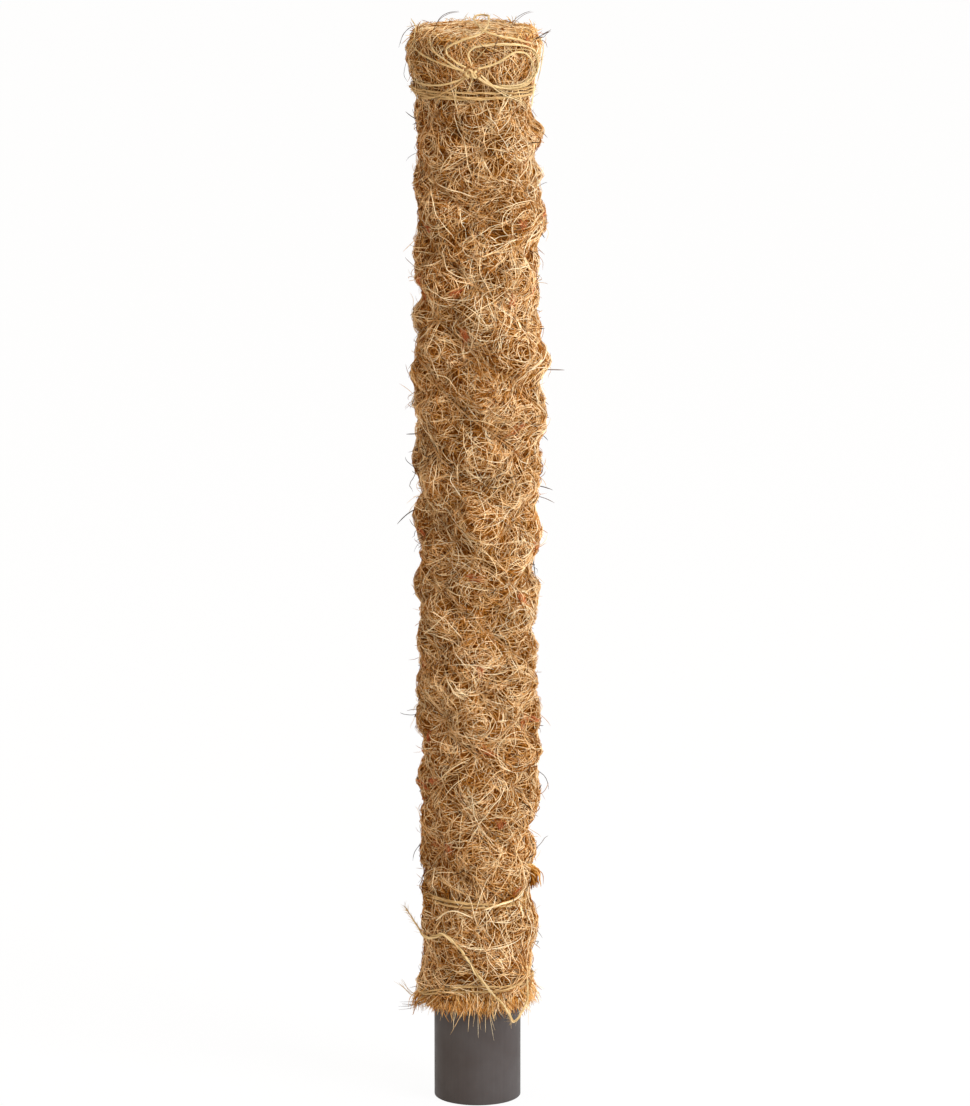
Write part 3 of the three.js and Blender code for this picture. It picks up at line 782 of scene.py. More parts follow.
# Strands that stand out one by one: name, material, count, spread, width, and a route whose points are an
# angle in degrees, a distance from the axis and a height
WISP_SEED = 15
WISP_POINTS = 20
WISP_ROOT = 0.8  # share of the spread that a wisp has only at its tip
WISP_RIPPLE = 0.3  # of the spread, and how many radians of wave lie along a wisp
WISP_WAVE = (4, 9)
WISPS = [
    ("bow_strand_left", STRAW, 2, 0.4, (0.5, 0.6), [
        (-8, 30.9, 484.1), (-20, 30.8, 487.9), (-29, 30.7, 490.8),
        (-36, 30.7, 492.7), (-42, 30.5, 496), (-46, 29.6, 500),
    ]),
    ("bow_strand_right", STRAW, 2, 0.4, (0.5, 0.6), [
        (3, 31.1, 484.2), (16, 29, 477.8), (28, 28, 474.1), (45, 28, 470.6), (53, 28.2, 467.4),
    ]),
    ("bow_strands_loop", STRAW, 3, 0.9, (0.4, 0.6), [
        (20, 29.6, 479), (34, 29.3, 477.9), (48, 29.6, 478.6),
        (58, 30.4, 482.5), (62, 31, 487), (57, 31, 492),
        (46, 31, 495.2), (30, 30.8, 496.6), (14, 30.6, 496.6),
    ]),
    ("bow_strand_down", STRAW, 1, 0.2, (0.5, 0.6), [
        (-3.5, 31, 483.7), (-6, 29.5, 479.8), (-10, 28.2, 475.5),
    ]),
    ("tie_end_left", STRAW, 1, 0.2, (0.45, 0.55), [
        (-19.5, 28.3, 478.5), (-20, 28.2, 474.4), (-19, 28.8, 468.2),
    ]),
    ("tie_end_right", STRAW, 2, 0.4, (0.4, 0.5), [(64, 28.3, 477.1), (63, 28.2, 471.7), (57, 28.4, 466.7)]),
    ("corner_end", STRAW, 2, 0.3, (0.45, 0.6), [
        (-71, 30.4, 490), (-71, 30.6, 494), (-70, 30.6, 499), (-69, 30.6, 503), (-72, 32, 506),
    ]),
    ("hoop_low", PALE, 2, 0.4, (0.3, 0.42), [
        (-23, 26.8, 80.2), (-11, 27.2, 77.8), (6, 27.4, 77.2),
        (26, 27.4, 78.2), (47, 27.3, 80.6), (57, 26.8, 85),
    ]),
    ("middle_end_left", PALE, 2, 0.5, (0.4, 0.55), [
        (-45, 27, 88.5), (-32, 26.8, 93.5), (-22, 26.8, 94.5), (-5, 26.6, 92.1),
    ]),
    ("middle_end_right", PALE, 3, 0.5, (0.4, 0.55), [
        (6, 27, 95.4), (20, 27.6, 97.6), (39, 27.8, 99.4), (48, 27.8, 102),
        (51, 27.8, 107.6), (49, 27.6, 114.4),
    ]),
    ("husk_tuft", FELT, 40, 1.2, (0.4, 0.8), [
        (58, 25, 113), (65, 26.2, 111), (69, 26.6, 108), (70, 26.4, 103),
    ]),
    ("husk_tuft_rust", RUST, 80, 1.4, (0.3, 0.5), [
        (60, 25, 113), (69, 27, 111), (75, 28, 108), (76, 27.6, 103),
    ]),
    ("hem_tuft", RUST, 24, 1.6, (0.3, 0.46), [
        (-60, 24, 57), (-70, 26, 52.5), (-82, 28, 47), (-84, 29, 42),
    ]),
    ("hem_tuft_coat", COAT, 24, 1.8, (0.3, 0.46), [
        (-62, 24, 57), (-74, 26, 53), (-84, 28.5, 48), (-86, 29.5, 43),
    ]),
    ("hem_hairs", STRAW, 5, 1.0, (0.2, 0.3), [
        (-80, 27, 50), (-87, 30, 48.5), (-89, 33.6, 51), (-89, 37, 55),
    ]),
    ("hem_dark_hairs", DARK, 5, 1.0, (0.2, 0.3), [
        (-62, 24, 49), (-78, 27.5, 45), (-88, 31.5, 42.5), (-89, 36, 42),
    ]),
    ("corner_hairs_left", DARK, 2, 0.8, (0.2, 0.3), [
        (-76, 29, 503), (-85, 32, 500), (-88, 34, 497), (-86, 35.5, 492),
    ]),
    ("top_hairs_left", DARK, 2, 0.8, (0.22, 0.34), [
        (-45, 28, 503), (-40, 27, 508), (-30, 26, 511), (-20, 25, 512),
    ]),
    ("top_hairs_right", DARK, 2, 0.8, (0.2, 0.3), [
        (36, 26, 504), (40, 28, 508), (46, 30, 510), (53, 32, 510.6),
    ]),
    ("corner_end_right", STRAW, 2, 0.4, (0.4, 0.5), [
        (66, 31, 498), (68, 32, 495), (66, 32, 490), (65, 31, 484.5), (66, 29.2, 479),
    ]),
    ("crown_stick", DARK, 2, 0.15, (0.5, 0.7), [(18.4, 29.9, 502), (16.7, 30.3, 499), (14.4, 30.4, 495.7)]),
    ("corner_hairs_right", DARK, 4, 0.8, (0.24, 0.4), [
        (70, 27.5, 497), (74, 29.5, 498), (77, 31.5, 499), (79, 33, 500),
    ]),
]

# Dark hairs at the sides: which side, the height where one leaves the mat, its reach and the rise of its tip
HAIRS = [
    (-1, 459, 7, 4), (-1, 458, 4, -1), (1, 454, 4, -3), (1, 370, 2, 5), (1, 363, 4, 0), (-1, 332, 4, -6),
    (-1, 314, 7, 0), (-1, 279, 10, -7), (-1, 266, 4, -2), (1, 344, 10, 0), (1, 314, 4, -3), (1, 290, 9, -2),
    (1, 285, 9, -3), (1, 257, 2, -10), (-1, 251, 2, -5), (-1, 236, 2, 3), (-1, 192, 2, 4), (-1, 183, 3, -2),
    (-1, 171, 2, -4), (1, 177, 4, 0), (1, 162, 3, 1), (1, 159, 2, -7),
]
HAIR_SEED = 16
HAIR_ANGLE = 84  # degrees from the front
HAIR_WIDTH = (0.34, 0.56)
HAIR_POINTS = 10
HAIR_ROOT = -1  # under the mat's surface
HAIR_CURVE = 1.7
SIDE_END = OUTLINE.along_at(POLE_LENGTH - CROWN_ROUND)
WAIST_ZONE = (OUTLINE.along_at(BOTTOM_TIE.height + BOTTOM_TIE.half), OUTLINE.along_at(MIDDLE_TIE.height))


def lay_coat(
    name, seed, count, length, width, lift, arch, curl, material,
    lock=1, sway=SWAY, points=FIBRE_POINTS, spread=LOCK_SPREAD, zone=(0, SIDE_END),
):
    """Fibres all over the side of the mat, in any direction. The middle of a fibre may arch off the mat."""
    rng = np.random.default_rng(seed)
    locks = math.ceil(count / lock)
    which = np.repeat(np.arange(locks), lock)[:count]
    angle = any_angle(rng, locks)[which] + rng.normal(0, spread, count) / PIPE_RADIUS
    along = between(rng, zone, locks)[which] + rng.normal(0, spread, count)
    heading = any_angle(rng, locks)[which] + rng.normal(0, LOCK_TURN, count)
    bend = rng.normal(0, curl, locks)[which] + rng.normal(0, LOCK_BEND, count)
    long = between(rng, length, count)
    angles, alongs = walk(rng, angle, along, heading, long, bend, sway, points)
    rise = each_between(rng, lift, count) + rolling(rng, long, points)
    bow = np.abs(each_normal(rng, arch, count)) * np.sin(np.linspace(0, math.pi, points))
    add_fibres(name, rng, on_mat(angles, alongs, rise + bow), width, material, keep=off_hem(alongs))


def quilt_points(offset):
    """Angles and heights where the lashing's threads cross, or with an offset where the pillows have their
    middles."""
    row, column = np.meshgrid(np.arange(0, ROWS + 1, 2), np.arange(0, COLUMNS, 2), indexing="ij")
    chosen = (row - column) % CORNERS == offset
    height = LOWEST_THREAD + row[chosen] / ROWS * (HIGHEST_THREAD - LOWEST_THREAD)
    return column[chosen] / COLUMNS * FULL_TURN, height


STAR_STRAY = 1.6  # how far a gathering lies from its crossing
STAR_SPREAD = 0.9
STAR_BEND = 0.04
STAR_SINK = 0.4  # its fibres start below the surface, rise and come down again
STAR_RISE = (0.4, 1.5)
STAR_ARC = 0.8 * math.pi


def lay_stars(name, seed, each, length, fan, width, material):
    """Fibres that the lashing gathers where its threads cross."""
    rng = np.random.default_rng(seed)
    angle, height = quilt_points(0)
    angle = angle + rng.normal(0, STAR_STRAY, len(angle)) / PIPE_RADIUS
    height = height + rng.normal(0, STAR_STRAY, len(height))
    angle, height = np.repeat(angle, each), np.repeat(height, each)
    count = len(angle)
    angle = angle + rng.normal(0, STAR_SPREAD, count) / PIPE_RADIUS
    along = OUTLINE.along_at(height + rng.normal(0, STAR_SPREAD, count))
    heading, bend = up_or_down(rng, fan, count), rng.normal(0, STAR_BEND, count)
    angles, alongs = walk(rng, angle, along, heading, between(rng, length, count), bend, GENTLE_SWAY)
    rise = each_between(rng, STAR_RISE, count) * np.sin(np.linspace(0, STAR_ARC, FIBRE_POINTS)) - STAR_SINK
    add_fibres(name, rng, on_mat(angles, alongs, rise), width, material)


WHORL_STRAY = 2.2  # how far a curl lies from the pillow's middle
WHORL_SIZE = (3.5, 9.5)
WHORL_OPEN = 0.3  # how much a curl widens or narrows on its way
WHORL_TURN = (0.2 * FULL_TURN, 0.7 * FULL_TURN)
WHORL_TALL = 0.85
WHORL_LIFT = (0, 0.9)
WHORL_POINTS = 14


def lay_whorls(name, seed, each, width, material):
    """Fibres that curl round the middle of each pillow, like a nest."""
    rng = np.random.default_rng(seed)
    angle, height = quilt_points(CORNERS // 2)
    angle, along = np.repeat(angle, each), np.repeat(OUTLINE.along_at(height), each)
    count = len(angle)
    angle = angle + rng.normal(0, WHORL_STRAY, count) / PIPE_RADIUS
    along = along + rng.normal(0, WHORL_STRAY, count)
    size, start = each_between(rng, WHORL_SIZE, count), any_angle(rng, count)[:, None]
    share = np.linspace(0, 1, WHORL_POINTS)
    turn = start + each_between(rng, WHORL_TURN, count) * share
    size = size * (1 + each_normal(rng, WHORL_OPEN, count) * share)
    angles = angle[:, None] + size * np.cos(turn) / (PIPE_RADIUS + WAIST)
    alongs = along[:, None] + size * np.sin(turn) * WHORL_TALL
    lift = each_between(rng, WHORL_LIFT, count) + rolling(rng, size[:, 0] * math.pi, WHORL_POINTS)
    add_fibres(name, rng, on_mat(angles, alongs, lift), width, material)


STRAY_BEND = 0.07
STRAY_STAND = (0.3, 1.1)  # how steeply a hair leaves the mat, and how far it bends back
STRAY_LEAN = (0, 0.6)
STRAY_POINTS = 9
MOST_STRAY = 8.5
ROOT_SINK = 0.3  # roots lie this far below the surface


def lay_strays(name, seed, count, reach, width, material):
    """Hairs that leave the mat and bend."""
    rng = np.random.default_rng(seed)
    angle, along = any_angle(rng, count), rng.uniform(HEM_CLEAR, SIDE_END, count)
    heading, length = any_angle(rng, count), between(rng, reach, count)
    bend = rng.normal(0, STRAY_BEND, count)
    angles, alongs = walk(rng, angle, along, heading, length, bend, SWAY, STRAY_POINTS)
    share = np.linspace(0, 1, STRAY_POINTS)
    stand = each_between(rng, STRAY_STAND, count) * share - each_between(rng, STRAY_LEAN, count) * share**2
    paths = on_mat(angles, alongs, np.minimum(length[:, None] * stand, MOST_STRAY) - ROOT_SINK)
    add_fibres(name, rng, paths, width, material, STANDING)


FRINGE_POINTS = 8
FRINGE_SPREAD = 0.06  # radians round the pole: how far a tuft's ends lie apart, and lean and bend aside
FRINGE_TUFT_LEAN = 0.1
FRINGE_LEAN = 0.07
FRINGE_BEND = 0.06
FRINGE_START = (-3, 2)  # from the tie's height
FRINGE_ROOT = (1.2, TIED_LOWER + 0.5)  # from the pipe
FRINGE_DROPS = (0.6, 1.1)  # each end's part of its tuft's drop and flare
FRINGE_FLARES = (0.6, 1.2)
FRINGE_CURVE = (0.7, 2)
FRINGE_WAVE = 0.5


def lay_fringe(name, seed, count, drop, flare, width, material, tuft):
    """Loose ends below the lowest tie, in tufts that share a direction."""
    rng = np.random.default_rng(seed)
    share = np.linspace(0, 1, FRINGE_POINTS)
    tufts = math.ceil(count / tuft)
    which = np.repeat(np.arange(tufts), tuft)[:count]
    angle = any_angle(rng, tufts)[which] + rng.normal(0, FRINGE_SPREAD, count)
    lean = rng.normal(0, FRINGE_TUFT_LEAN, tufts)[which] + rng.normal(0, FRINGE_LEAN, count)
    angle = angle[:, None] + lean[:, None] * share + each_normal(rng, FRINGE_BEND, count) * share**2
    sunk = slant(angle[:, 0], BOTTOM_TIE.height)
    start = BOTTOM_TIE.height + between(rng, FRINGE_START, count) + sunk
    shorter = 1 + sunk / (BOTTOM_TIE.height - BARE_PIPE)
    fall = between(rng, drop, tufts)[which] * between(rng, FRINGE_DROPS, count) * shorter
    root = PIPE_RADIUS + each_between(rng, FRINGE_ROOT, count)
    out = between(rng, flare, tufts)[which] * between(rng, FRINGE_FLARES, count)
    curve = each_between(rng, FRINGE_CURVE, count)
    wave = each_normal(rng, FRINGE_WAVE, count) * np.sin(share * math.pi)
    reach = np.maximum(root + out[:, None] * share**curve + wave, PIPE_RADIUS + SEAT)
    paths = around(angle, reach, start[:, None] - fall[:, None] * share)
    add_fibres(name, rng, paths, width, material, STANDING)


RISER_START = (0, 16)  # above the top tie
RISER_FAN = 0.6
RISER_BEND = 0.04
RISER_LENGTH = (10, 30)
RISER_LOOSE = 0.45  # how far the ends stand off


def lay_crown(name, seed, count, lift, width, material):
    """Fibres that run up from the top tie and over the rim."""
    rng = np.random.default_rng(seed)
    angle = any_angle(rng, count)
    along = OUTLINE.along_at(TOP_TIE.height + between(rng, RISER_START, count))
    heading = math.pi / 2 + rng.normal(0, RISER_FAN, count)
    bend, length = rng.normal(0, RISER_BEND, count), between(rng, RISER_LENGTH, count)
    angles, alongs = walk(rng, angle, along, heading, length, bend, GENTLE_SWAY)
    share = np.linspace(0, 1, FIBRE_POINTS)
    rise = each_between(rng, lift, count) + np.abs(each_normal(rng, RISER_LOOSE, count)) * share
    add_fibres(name, rng, on_mat(angles, alongs, rise), width, material)


TOP_REACH = 27
TOP_BEND = 0.07
TOP_SWAY = 0.06
TOP_TILT = 0.6  # how far a fibre's ends lie above and below its middle


def lay_top(name, seed, count, length, width, lift, material):
    """Fibres that lie on the top and hang over the rim. Their lines are drawn on a flat round sheet."""
    rng = np.random.default_rng(seed)
    reach, angle = TOP_REACH * np.sqrt(rng.uniform(0, 1, count)), any_angle(rng, count)
    x, y = reach * np.sin(angle), -reach * np.cos(angle)
    heading, bend = any_angle(rng, count), rng.normal(0, TOP_BEND, count)
    step = between(rng, length, count) / (FIBRE_POINTS - 1)
    angles, alongs = [], []
    for _ in range(FIBRE_POINTS):
        angles.append(np.arctan2(x, -y))
        alongs.append(OUTLINE.along[-1] - np.hypot(x, y))
        x, y = x + np.cos(heading) * step, y + np.sin(heading) * step
        heading = heading + (bend + rng.normal(0, TOP_SWAY, count)) * step
    tilt = np.linspace(-1, 1, FIBRE_POINTS)
    rise = each_between(rng, lift, count) + each_normal(rng, TOP_TILT, count) * tilt
    paths = on_mat(np.stack(angles, 1), np.stack(alongs, 1), rise)
    add_fibres(name, rng, settle(paths), width, material)


TUFT_POINTS = 6
TUFT_BELOW = 4  # the tufts start this far below the top, and stand on this much of the outline
TUFT_ZONE = (0, 7)
TUFT_SLIDE = 0.5  # how far a tuft leans along the rim and across it, of its length
TUFT_STAND = (0.2, 1)
TUFT_LEAN = (0, 0.5)


def lay_tufts(name, seed, count, length, width, material):
    """Short ends that stand up along the rim."""
    rng = np.random.default_rng(seed)
    angle = any_angle(rng, count)[:, None]
    along = OUTLINE.along_at(POLE_LENGTH - TUFT_BELOW) + each_between(rng, TUFT_ZONE, count)
    share = np.linspace(0, 1, TUFT_POINTS)
    long = each_between(rng, length, count)
    turned = angle + each_normal(rng, TUFT_SLIDE, count) * long * share / PIPE_RADIUS
    slid = along + each_normal(rng, TUFT_SLIDE, count) * long * share
    stand = each_between(rng, TUFT_STAND, count) * share - each_between(rng, TUFT_LEAN, count) * share**2
    add_fibres(name, rng, on_mat(turned, slid, long * stand - ROOT_SINK), width, material, STANDING)


OVER_FAN = 0.6
OVER_LENGTH = (12, 30)
OVER_BACK = (0.3, 0.7)  # the part of a fibre that lies before the twine
OVER_BEND = 0.03
OVER_SINK = 0.4
OVER_HUMP = 0.7  # under 1, the hump is broad
OVER_TIE_LIFT = (2, 2.8)
OVER_TIE_WIDTH = (0.28, 0.44)
OVER_KNOT_LIFT = (3.2, 4.4)
OVER_KNOT_WIDTH = (0.3, 0.46)
OVER_KNOT_SEED = 35
OVER_KNOT_PLACES_SEED = 14


def lay_over_twine(name, seed, angle, height, lift, width, material):
    """Fibres that have worked their way out over the twine, each over one place."""
    rng = np.random.default_rng(seed)
    count = len(height)
    heading, length = up_or_down(rng, OVER_FAN, count), between(rng, OVER_LENGTH, count)
    back = length * between(rng, OVER_BACK, count)
    along = OUTLINE.along_at(height) - np.sin(heading) * back
    angle = angle - np.cos(heading) * back / (PIPE_RADIUS + WAIST)
    bend = rng.normal(0, OVER_BEND, count)
    angles, alongs = walk(rng, angle, along, heading, length, bend, GENTLE_SWAY)
    hump = np.sin(np.linspace(0, math.pi, FIBRE_POINTS)) ** OVER_HUMP
    paths = on_mat(angles, alongs, each_between(rng, lift, count) * hump - OVER_SINK)
    add_fibres(name, rng, paths, width, material, keep=off_hem(alongs))


def lay_over_ties(name, seed, ties, each, material):
    height = np.repeat([tie.height for tie in ties], each)
    angle = any_angle(np.random.default_rng(seed), len(height))
    lay_over_twine(name, seed, angle, height, OVER_TIE_LIFT, OVER_TIE_WIDTH, material)


def lay_over_knot(tie, count):
    rng = np.random.default_rng(OVER_KNOT_PLACES_SEED)
    angle = tie.knot_angle + rng.normal(0, KNOT_RADIUS, count) / PIPE_RADIUS
    height = tie.height + tie.knot_rise + rng.normal(0, KNOT_RADIUS, count)
    lay_over_twine("coir_over_knot", OVER_KNOT_SEED, angle, height, OVER_KNOT_LIFT, OVER_KNOT_WIDTH, COAT)


def lay_wisps():
    """The single strands and loose tufts, each along its route."""
    rng = np.random.default_rng(WISP_SEED)
    share = np.linspace(0, 1, WISP_POINTS)[None, :, None]
    for name, material, count, spread, width, route in WISPS:
        angle, reach, height = np.array(route, float).T
        line = smooth_curve(around(np.radians(angle), reach, height), TWINE_STEP)
        line = evenly(line, line_length(line) / (WISP_POINTS - 1))
        stray = rng.normal(0, 1, (count, 1, 3)) * (1 - WISP_ROOT + WISP_ROOT * share)
        ripple = rng.normal(0, WISP_RIPPLE, (count, 1, 3))
        wave = np.sin(between(rng, WISP_WAVE, (count, 1, 1)) * share)
        paths = line[None] + spread * (stray + ripple * wave)
        add_fibres(name, rng, paths, width, material, STANDING)


def lay_hairs():
    rng = np.random.default_rng(HAIR_SEED)
    side, height, reach, rise = np.array(HAIRS, float).T[:, :, None]
    share = np.linspace(0, 1, HAIR_POINTS)
    angle = side * math.radians(HAIR_ANGLE)
    root = np.linalg.norm(on_mat(angle, OUTLINE.along_at(height), HAIR_ROOT)[..., :2], axis=-1)
    paths = around(angle + 0 * share, root + reach * share, height + rise * share**HAIR_CURVE)
    add_fibres("side_hairs", rng, paths, HAIR_WIDTH, DARK, STANDING)


IN_WAIST = (2, SWAY, FIBRE_POINTS, LOCK_SPREAD, WAIST_ZONE)
OVER_KNOT = 70  # fibres

LAYERS = [
    # name, seed, count, length, width, lift, arch, curl, material, lock, sway, points, spread, zone
    (lay_coat, [
        # The undercoat lies deepest and has the darkest shades: brown coir, and partly painted shade of the
        # mat's depths
        ("coir_under", 21, 11500, (6, 16), (0.24, 0.4), (-0.9, 0), 0.4, 0.06, FELT, 1, SWAY, 8),
        ("coir_coat", 22, 14000, (6, 20), (0.2, 0.36), (-0.6, 0.4), 0.45, 0.045, COAT, 3),
        ("coir_fine", 53, 9000, (4, 11), (0.16, 0.28), (0, 0.8), 0.35, 0.05, COAT, 2, GENTLE_SWAY, 6),
        ("coir_loose", 23, 800, (10, 32), (0.26, 0.42), (0, 0.9), 0.6, 0.04, PALE, 2, GENTLE_SWAY),
        ("coir_locks", 43, 220, (12, 30), (0.24, 0.4), (0, 0.8), 0.5, 0.02, PALE, 4, GENTLE_SWAY),
        ("husk_flakes", 42, 1400, (2, 6), (0.3, 0.5), (0.1, 0.8), 0.1, 0.02, HUSK, 22, GENTLE_SWAY, 6, 0.8),
        ("coir_waist", 61, 1300, (5, 16), (0.22, 0.38), (0, 0.9), 0.4, 0.04, COAT, *IN_WAIST),
        ("coir_waist_pale", 63, 240, (6, 18), (0.22, 0.38), (0.2, 1), 0.4, 0.04, PALE, *IN_WAIST),
    ]),
    (lay_stars, [  # name, seed, fibres at each crossing, length, fan, width, material
        ("coir_gathered", 24, 12, (5, 17), 1.0, (0.24, 0.4), PALE),
        ("coir_gathered_brown", 34, 16, (5, 20), 0.8, (0.26, 0.42), COAT),
    ]),
    (lay_whorls, [  # name, seed, fibres on each pillow, width, material
        ("coir_whorls", 25, 30, (0.22, 0.38), COAT),
        ("coir_whorls_pale", 55, 7, (0.22, 0.38), PALE),
    ]),
    (lay_strays, [  # name, seed, count, reach, width, material
        ("coir_strays", 26, 1400, (2.5, 9), (0.16, 0.32), COAT),
        ("coir_stubs", 36, 1600, (1.5, 4), (0.28, 0.46), FELT),
        ("coir_dark_strays", 27, 110, (5, 16), (0.2, 0.36), DARK),
        ("coir_dark_stubs", 57, 300, (1.5, 4.5), (0.34, 0.6), DARK),
    ]),
    (lay_fringe, [  # name, seed, count, drop, flare, width, material, ends in a tuft
        ("coir_fringe_inner", 58, 800, (9, 14), (0, 1.5), (0.3, 0.48), RUST, 5),
        ("coir_fringe", 28, 1500, (7, 13), (0, 5), (0.26, 0.42), RUST, 2),
        ("coir_fringe_coat", 38, 1000, (7, 13), (0.5, 5), (0.24, 0.4), COAT, 2),
        ("coir_fringe_pale", 48, 420, (8, 13), (1, 5), (0.24, 0.4), PALE, 2),
        ("coir_hairs", 29, 64, (12, 24), (0, 2), (0.15, 0.26), PALE, 2),
    ]),
    (lay_crown, [  # name, seed, count, lift, width, material
        # Dark fibres laid low in the crown: brown coir, and partly painted shade in the gaps between the
        # crown's fibres
        ("coir_crown_brown", 60, 600, (-1.6, -0.6), (0.34, 0.5), FELT),
        ("coir_crown", 30, 360, (-0.6, 0.4), (0.3, 0.46), COAT),
        ("coir_crown_rust", 40, 120, (-0.5, 0.3), (0.3, 0.46), RUST),
        ("coir_crown_pale", 50, 60, (0, 1.0), (0.34, 0.5), PALE),
    ]),
    (lay_top, [  # name, seed, count, length, width, lift, material
        ("coir_top_brown", 51, 1000, (6, 20), (0.34, 0.5), (-1.5, -0.4), FELT),
        ("coir_top", 31, 1100, (6, 24), (0.32, 0.5), (-1.3, 0), COAT),
        ("coir_top_pale", 41, 280, (10, 32), (0.3, 0.48), (-0.8, 0.3), PALE),
    ]),
    (lay_tufts, [  # name, seed, count, length, width, material
        ("coir_rim", 32, 320, (2.5, 6), (0.26, 0.42), RUST),
        ("coir_rim_pale", 52, 200, (2.5, 7), (0.22, 0.36), STRAW),
    ]),
    (lay_over_ties, [  # name, seed, ties, fibres over each tie, material
        ("coir_over_ties", 33, (TOP_TIE, MIDDLE_TIE, BOTTOM_TIE), 50, PALE),
        ("coir_over_lower_ties", 37, (MIDDLE_TIE, BOTTOM_TIE), 110, COAT),
        # Dark fibres laid over the middle tie: painted shade of the groove that the tie lies in
        ("coir_over_middle_tie", 62, (MIDDLE_TIE,), 90, FELT),
    ]),
]


def add_coir():
    felt = mat_material()
    add_mat(felt)
    add_pad(felt)
    for lay, rows in LAYERS:
        for row in rows:
            lay(*row)
    lay_over_knot(BOTTOM_TIE, OVER_KNOT)
    lay_wisps()
    lay_hairs()


# Twine


def plied(rng, path, diameter, shape):
    """The plies of a loosely laid twine along an evenly stepped path, and their radius on the way."""
    up, side = (way[0] for way in frames(path[None]))
    along = np.arange(len(path)) * line_length(path) / (len(path) - 1)
    wide = diameter * np.interp(along / along[-1], *np.array(shape).T)
    lines = []
    for ply in range(PLIES):
        turn = (along / PLY_TURN + ply / PLIES) * FULL_TURN
        away = np.cos(turn)[:, None] * up + np.sin(turn)[:, None] * side
        part = 1 + PLY_LOOSE * np.sin(along / PLY_LOOSE_LENGTH + rng.uniform(0, FULL_TURN))
        lines.append(path + (PLY_OFFSET * wide * part)[:, None] * away)
    return np.stack(lines), np.tile(PLY_RADIUS * wide, (PLIES, 1))


def fuzz(rng, path, per_mm):
    """Short hairs off a twine, as lines."""
    count = int(line_length(path) * per_mm)
    at = rng.integers(1, len(path) - 1, count)
    tangent = unit(path[at + 1] - path[at - 1])
    aside = unit(np.cross(tangent, rng.normal(0, 1, (count, 3))))
    share = np.linspace(0, 1, FUZZ_POINTS)[None, :, None]
    length = between(rng, FUZZ_LENGTH, count)[:, None, None]
    lean = between(rng, FUZZ_LEAN, count)[:, None, None]
    return path[at][:, None] + length * (tangent[:, None] * share + lean * aside[:, None] * share**FUZZ_CURVE)


TWINE_SEED = 12
twine_rng = np.random.default_rng(TWINE_SEED)
fuzz_lines = []


def add_twine(name, path, diameter, shape=PLAIN_SHAPE, per_mm=FUZZ_PER_MM, material=STRAW):
    lines, radius = plied(twine_rng, path, diameter, shape)
    piece = dress(tubes(name, lines, radius, PLY_SIDES), material)
    fuzz_lines.append(fuzz(twine_rng, path, per_mm))
    return piece


def add_cord(node, route, tie, diameter, shape=PLAIN_SHAPE, per_mm=FUZZ_PER_MM):
    points = [around(math.radians(angle), radius, tie.knot_height + rise) for angle, radius, rise in route]
    path = smooth_curve(np.array(points), TWINE_STEP)
    piece = add_twine(f"{node}_twine", path, diameter, shape, per_mm)
    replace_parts(piece, node)


add_cord("bow_loop_right", BOW_LOOP_RIGHT, TOP_TIE, TWINE)
add_cord("bow_loop_left", BOW_LOOP_LEFT, TOP_TIE, TWINE)
add_cord("bow_tail_top", BOW_TAIL_TOP, TOP_TIE, TWINE)
add_cord("bow_tail_right", BOW_TAIL_RIGHT, TOP_TIE, TWINE)
add_cord("bottom_tail", BOTTOM_TAIL, BOTTOM_TIE, TAIL_TWINE, TAIL_SHAPE, TAIL_FUZZ_PER_MM)


WANDER = 0.9  # how far a tie strays up and down on its way round
TURN_STRAY = 0.3  # how far its turns stray from each other
TIE_PROUD = 0.5  # how far it lies on the fibres
BUNCH = 0.62  # how close the turns lie, of the solids' pitch
STRAY_WAVES = (2.3, 0.37)  # for each turn
LEADS = 3  # lengths of lead that the band leaves free
RAMP_STEPS = 12
BAND_STEPS = 200  # for each turn
KNOT_STEPS = 160
KNOT_ACROSS = [(1.1, 2, 0.3), (0.3, 5, 0)]  # waves: size in knot radii, how many, and where they start
KNOT_UP = [(0.95, 3, 0), (0.25, 4, math.pi / 2)]
KNOT_IN = [(KNOT_DEPTH, 5, 1)]


def ramp_line(tie, level, reach, leave):
    """From a knot down to the band, on the unrolled mat."""
    drop = abs(tie.knot_rise)
    start = leave * reach + [0, drop]
    bend = start + leave * (start[1] - level) / -leave[1]
    foot = np.array([bend[0] + LEAD, level])
    share = np.linspace(0, 1, RAMP_STEPS)[:, None]
    return (1 - share) ** 2 * start + 2 * share * (1 - share) * bend + share**2 * foot


def tie_path(tie):
    """From the knot down to the band, round it, and back over it, as the solid goes."""
    seat = SEAT + TWINE / 2
    band_radius = float(mat_radius(tie.height)) + seat
    around_once = FULL_TURN * band_radius
    steep = math.radians(LEAVE_ANGLE)
    leave = np.array([math.cos(steep), -math.sin(steep)])
    band = tie.turns * around_once - 2 * abs(tie.knot_rise) * leave[0] / -leave[1] - LEADS * LEAD
    top = BUNCH * TURN_PITCH * band / around_once / 2
    down = ramp_line(tie, top, KNOT_REACH + SEAT, leave)
    up = ramp_line(tie, -top, KNOT_REACH + SEAT, leave)[::-1] * [-1, 1] + [tie.turns * around_once, 0]
    share = np.linspace(0, 1, BAND_STEPS * tie.turns)[1:]
    level = np.stack([down[-1, 0] + share * band, top - 2 * top * share], axis=-1)
    flat = np.vstack([down, level, up[1:]])
    lift = np.concatenate([np.zeros(len(down) + len(level)), np.full(len(up) - 1, TURN_PITCH)])
    turn = tie.knot_angle + flat[:, 0] / band_radius
    stray = sum(np.sin(wave * turn) for wave in STRAY_WAVES)
    wander = WANDER * np.sin(turn + tie.height) + TURN_STRAY * stray
    height = tie.height + flat[:, 1] * np.sign(tie.knot_rise) + wander
    mat = mat_radius(height) + swells(turn, height) + np.maximum(lumps(turn, height), 0)
    reach = mat + seat + TIE_PROUD + lift
    path = around(turn, reach, height + slant(turn, height))
    return evenly(path, TWINE_STEP)


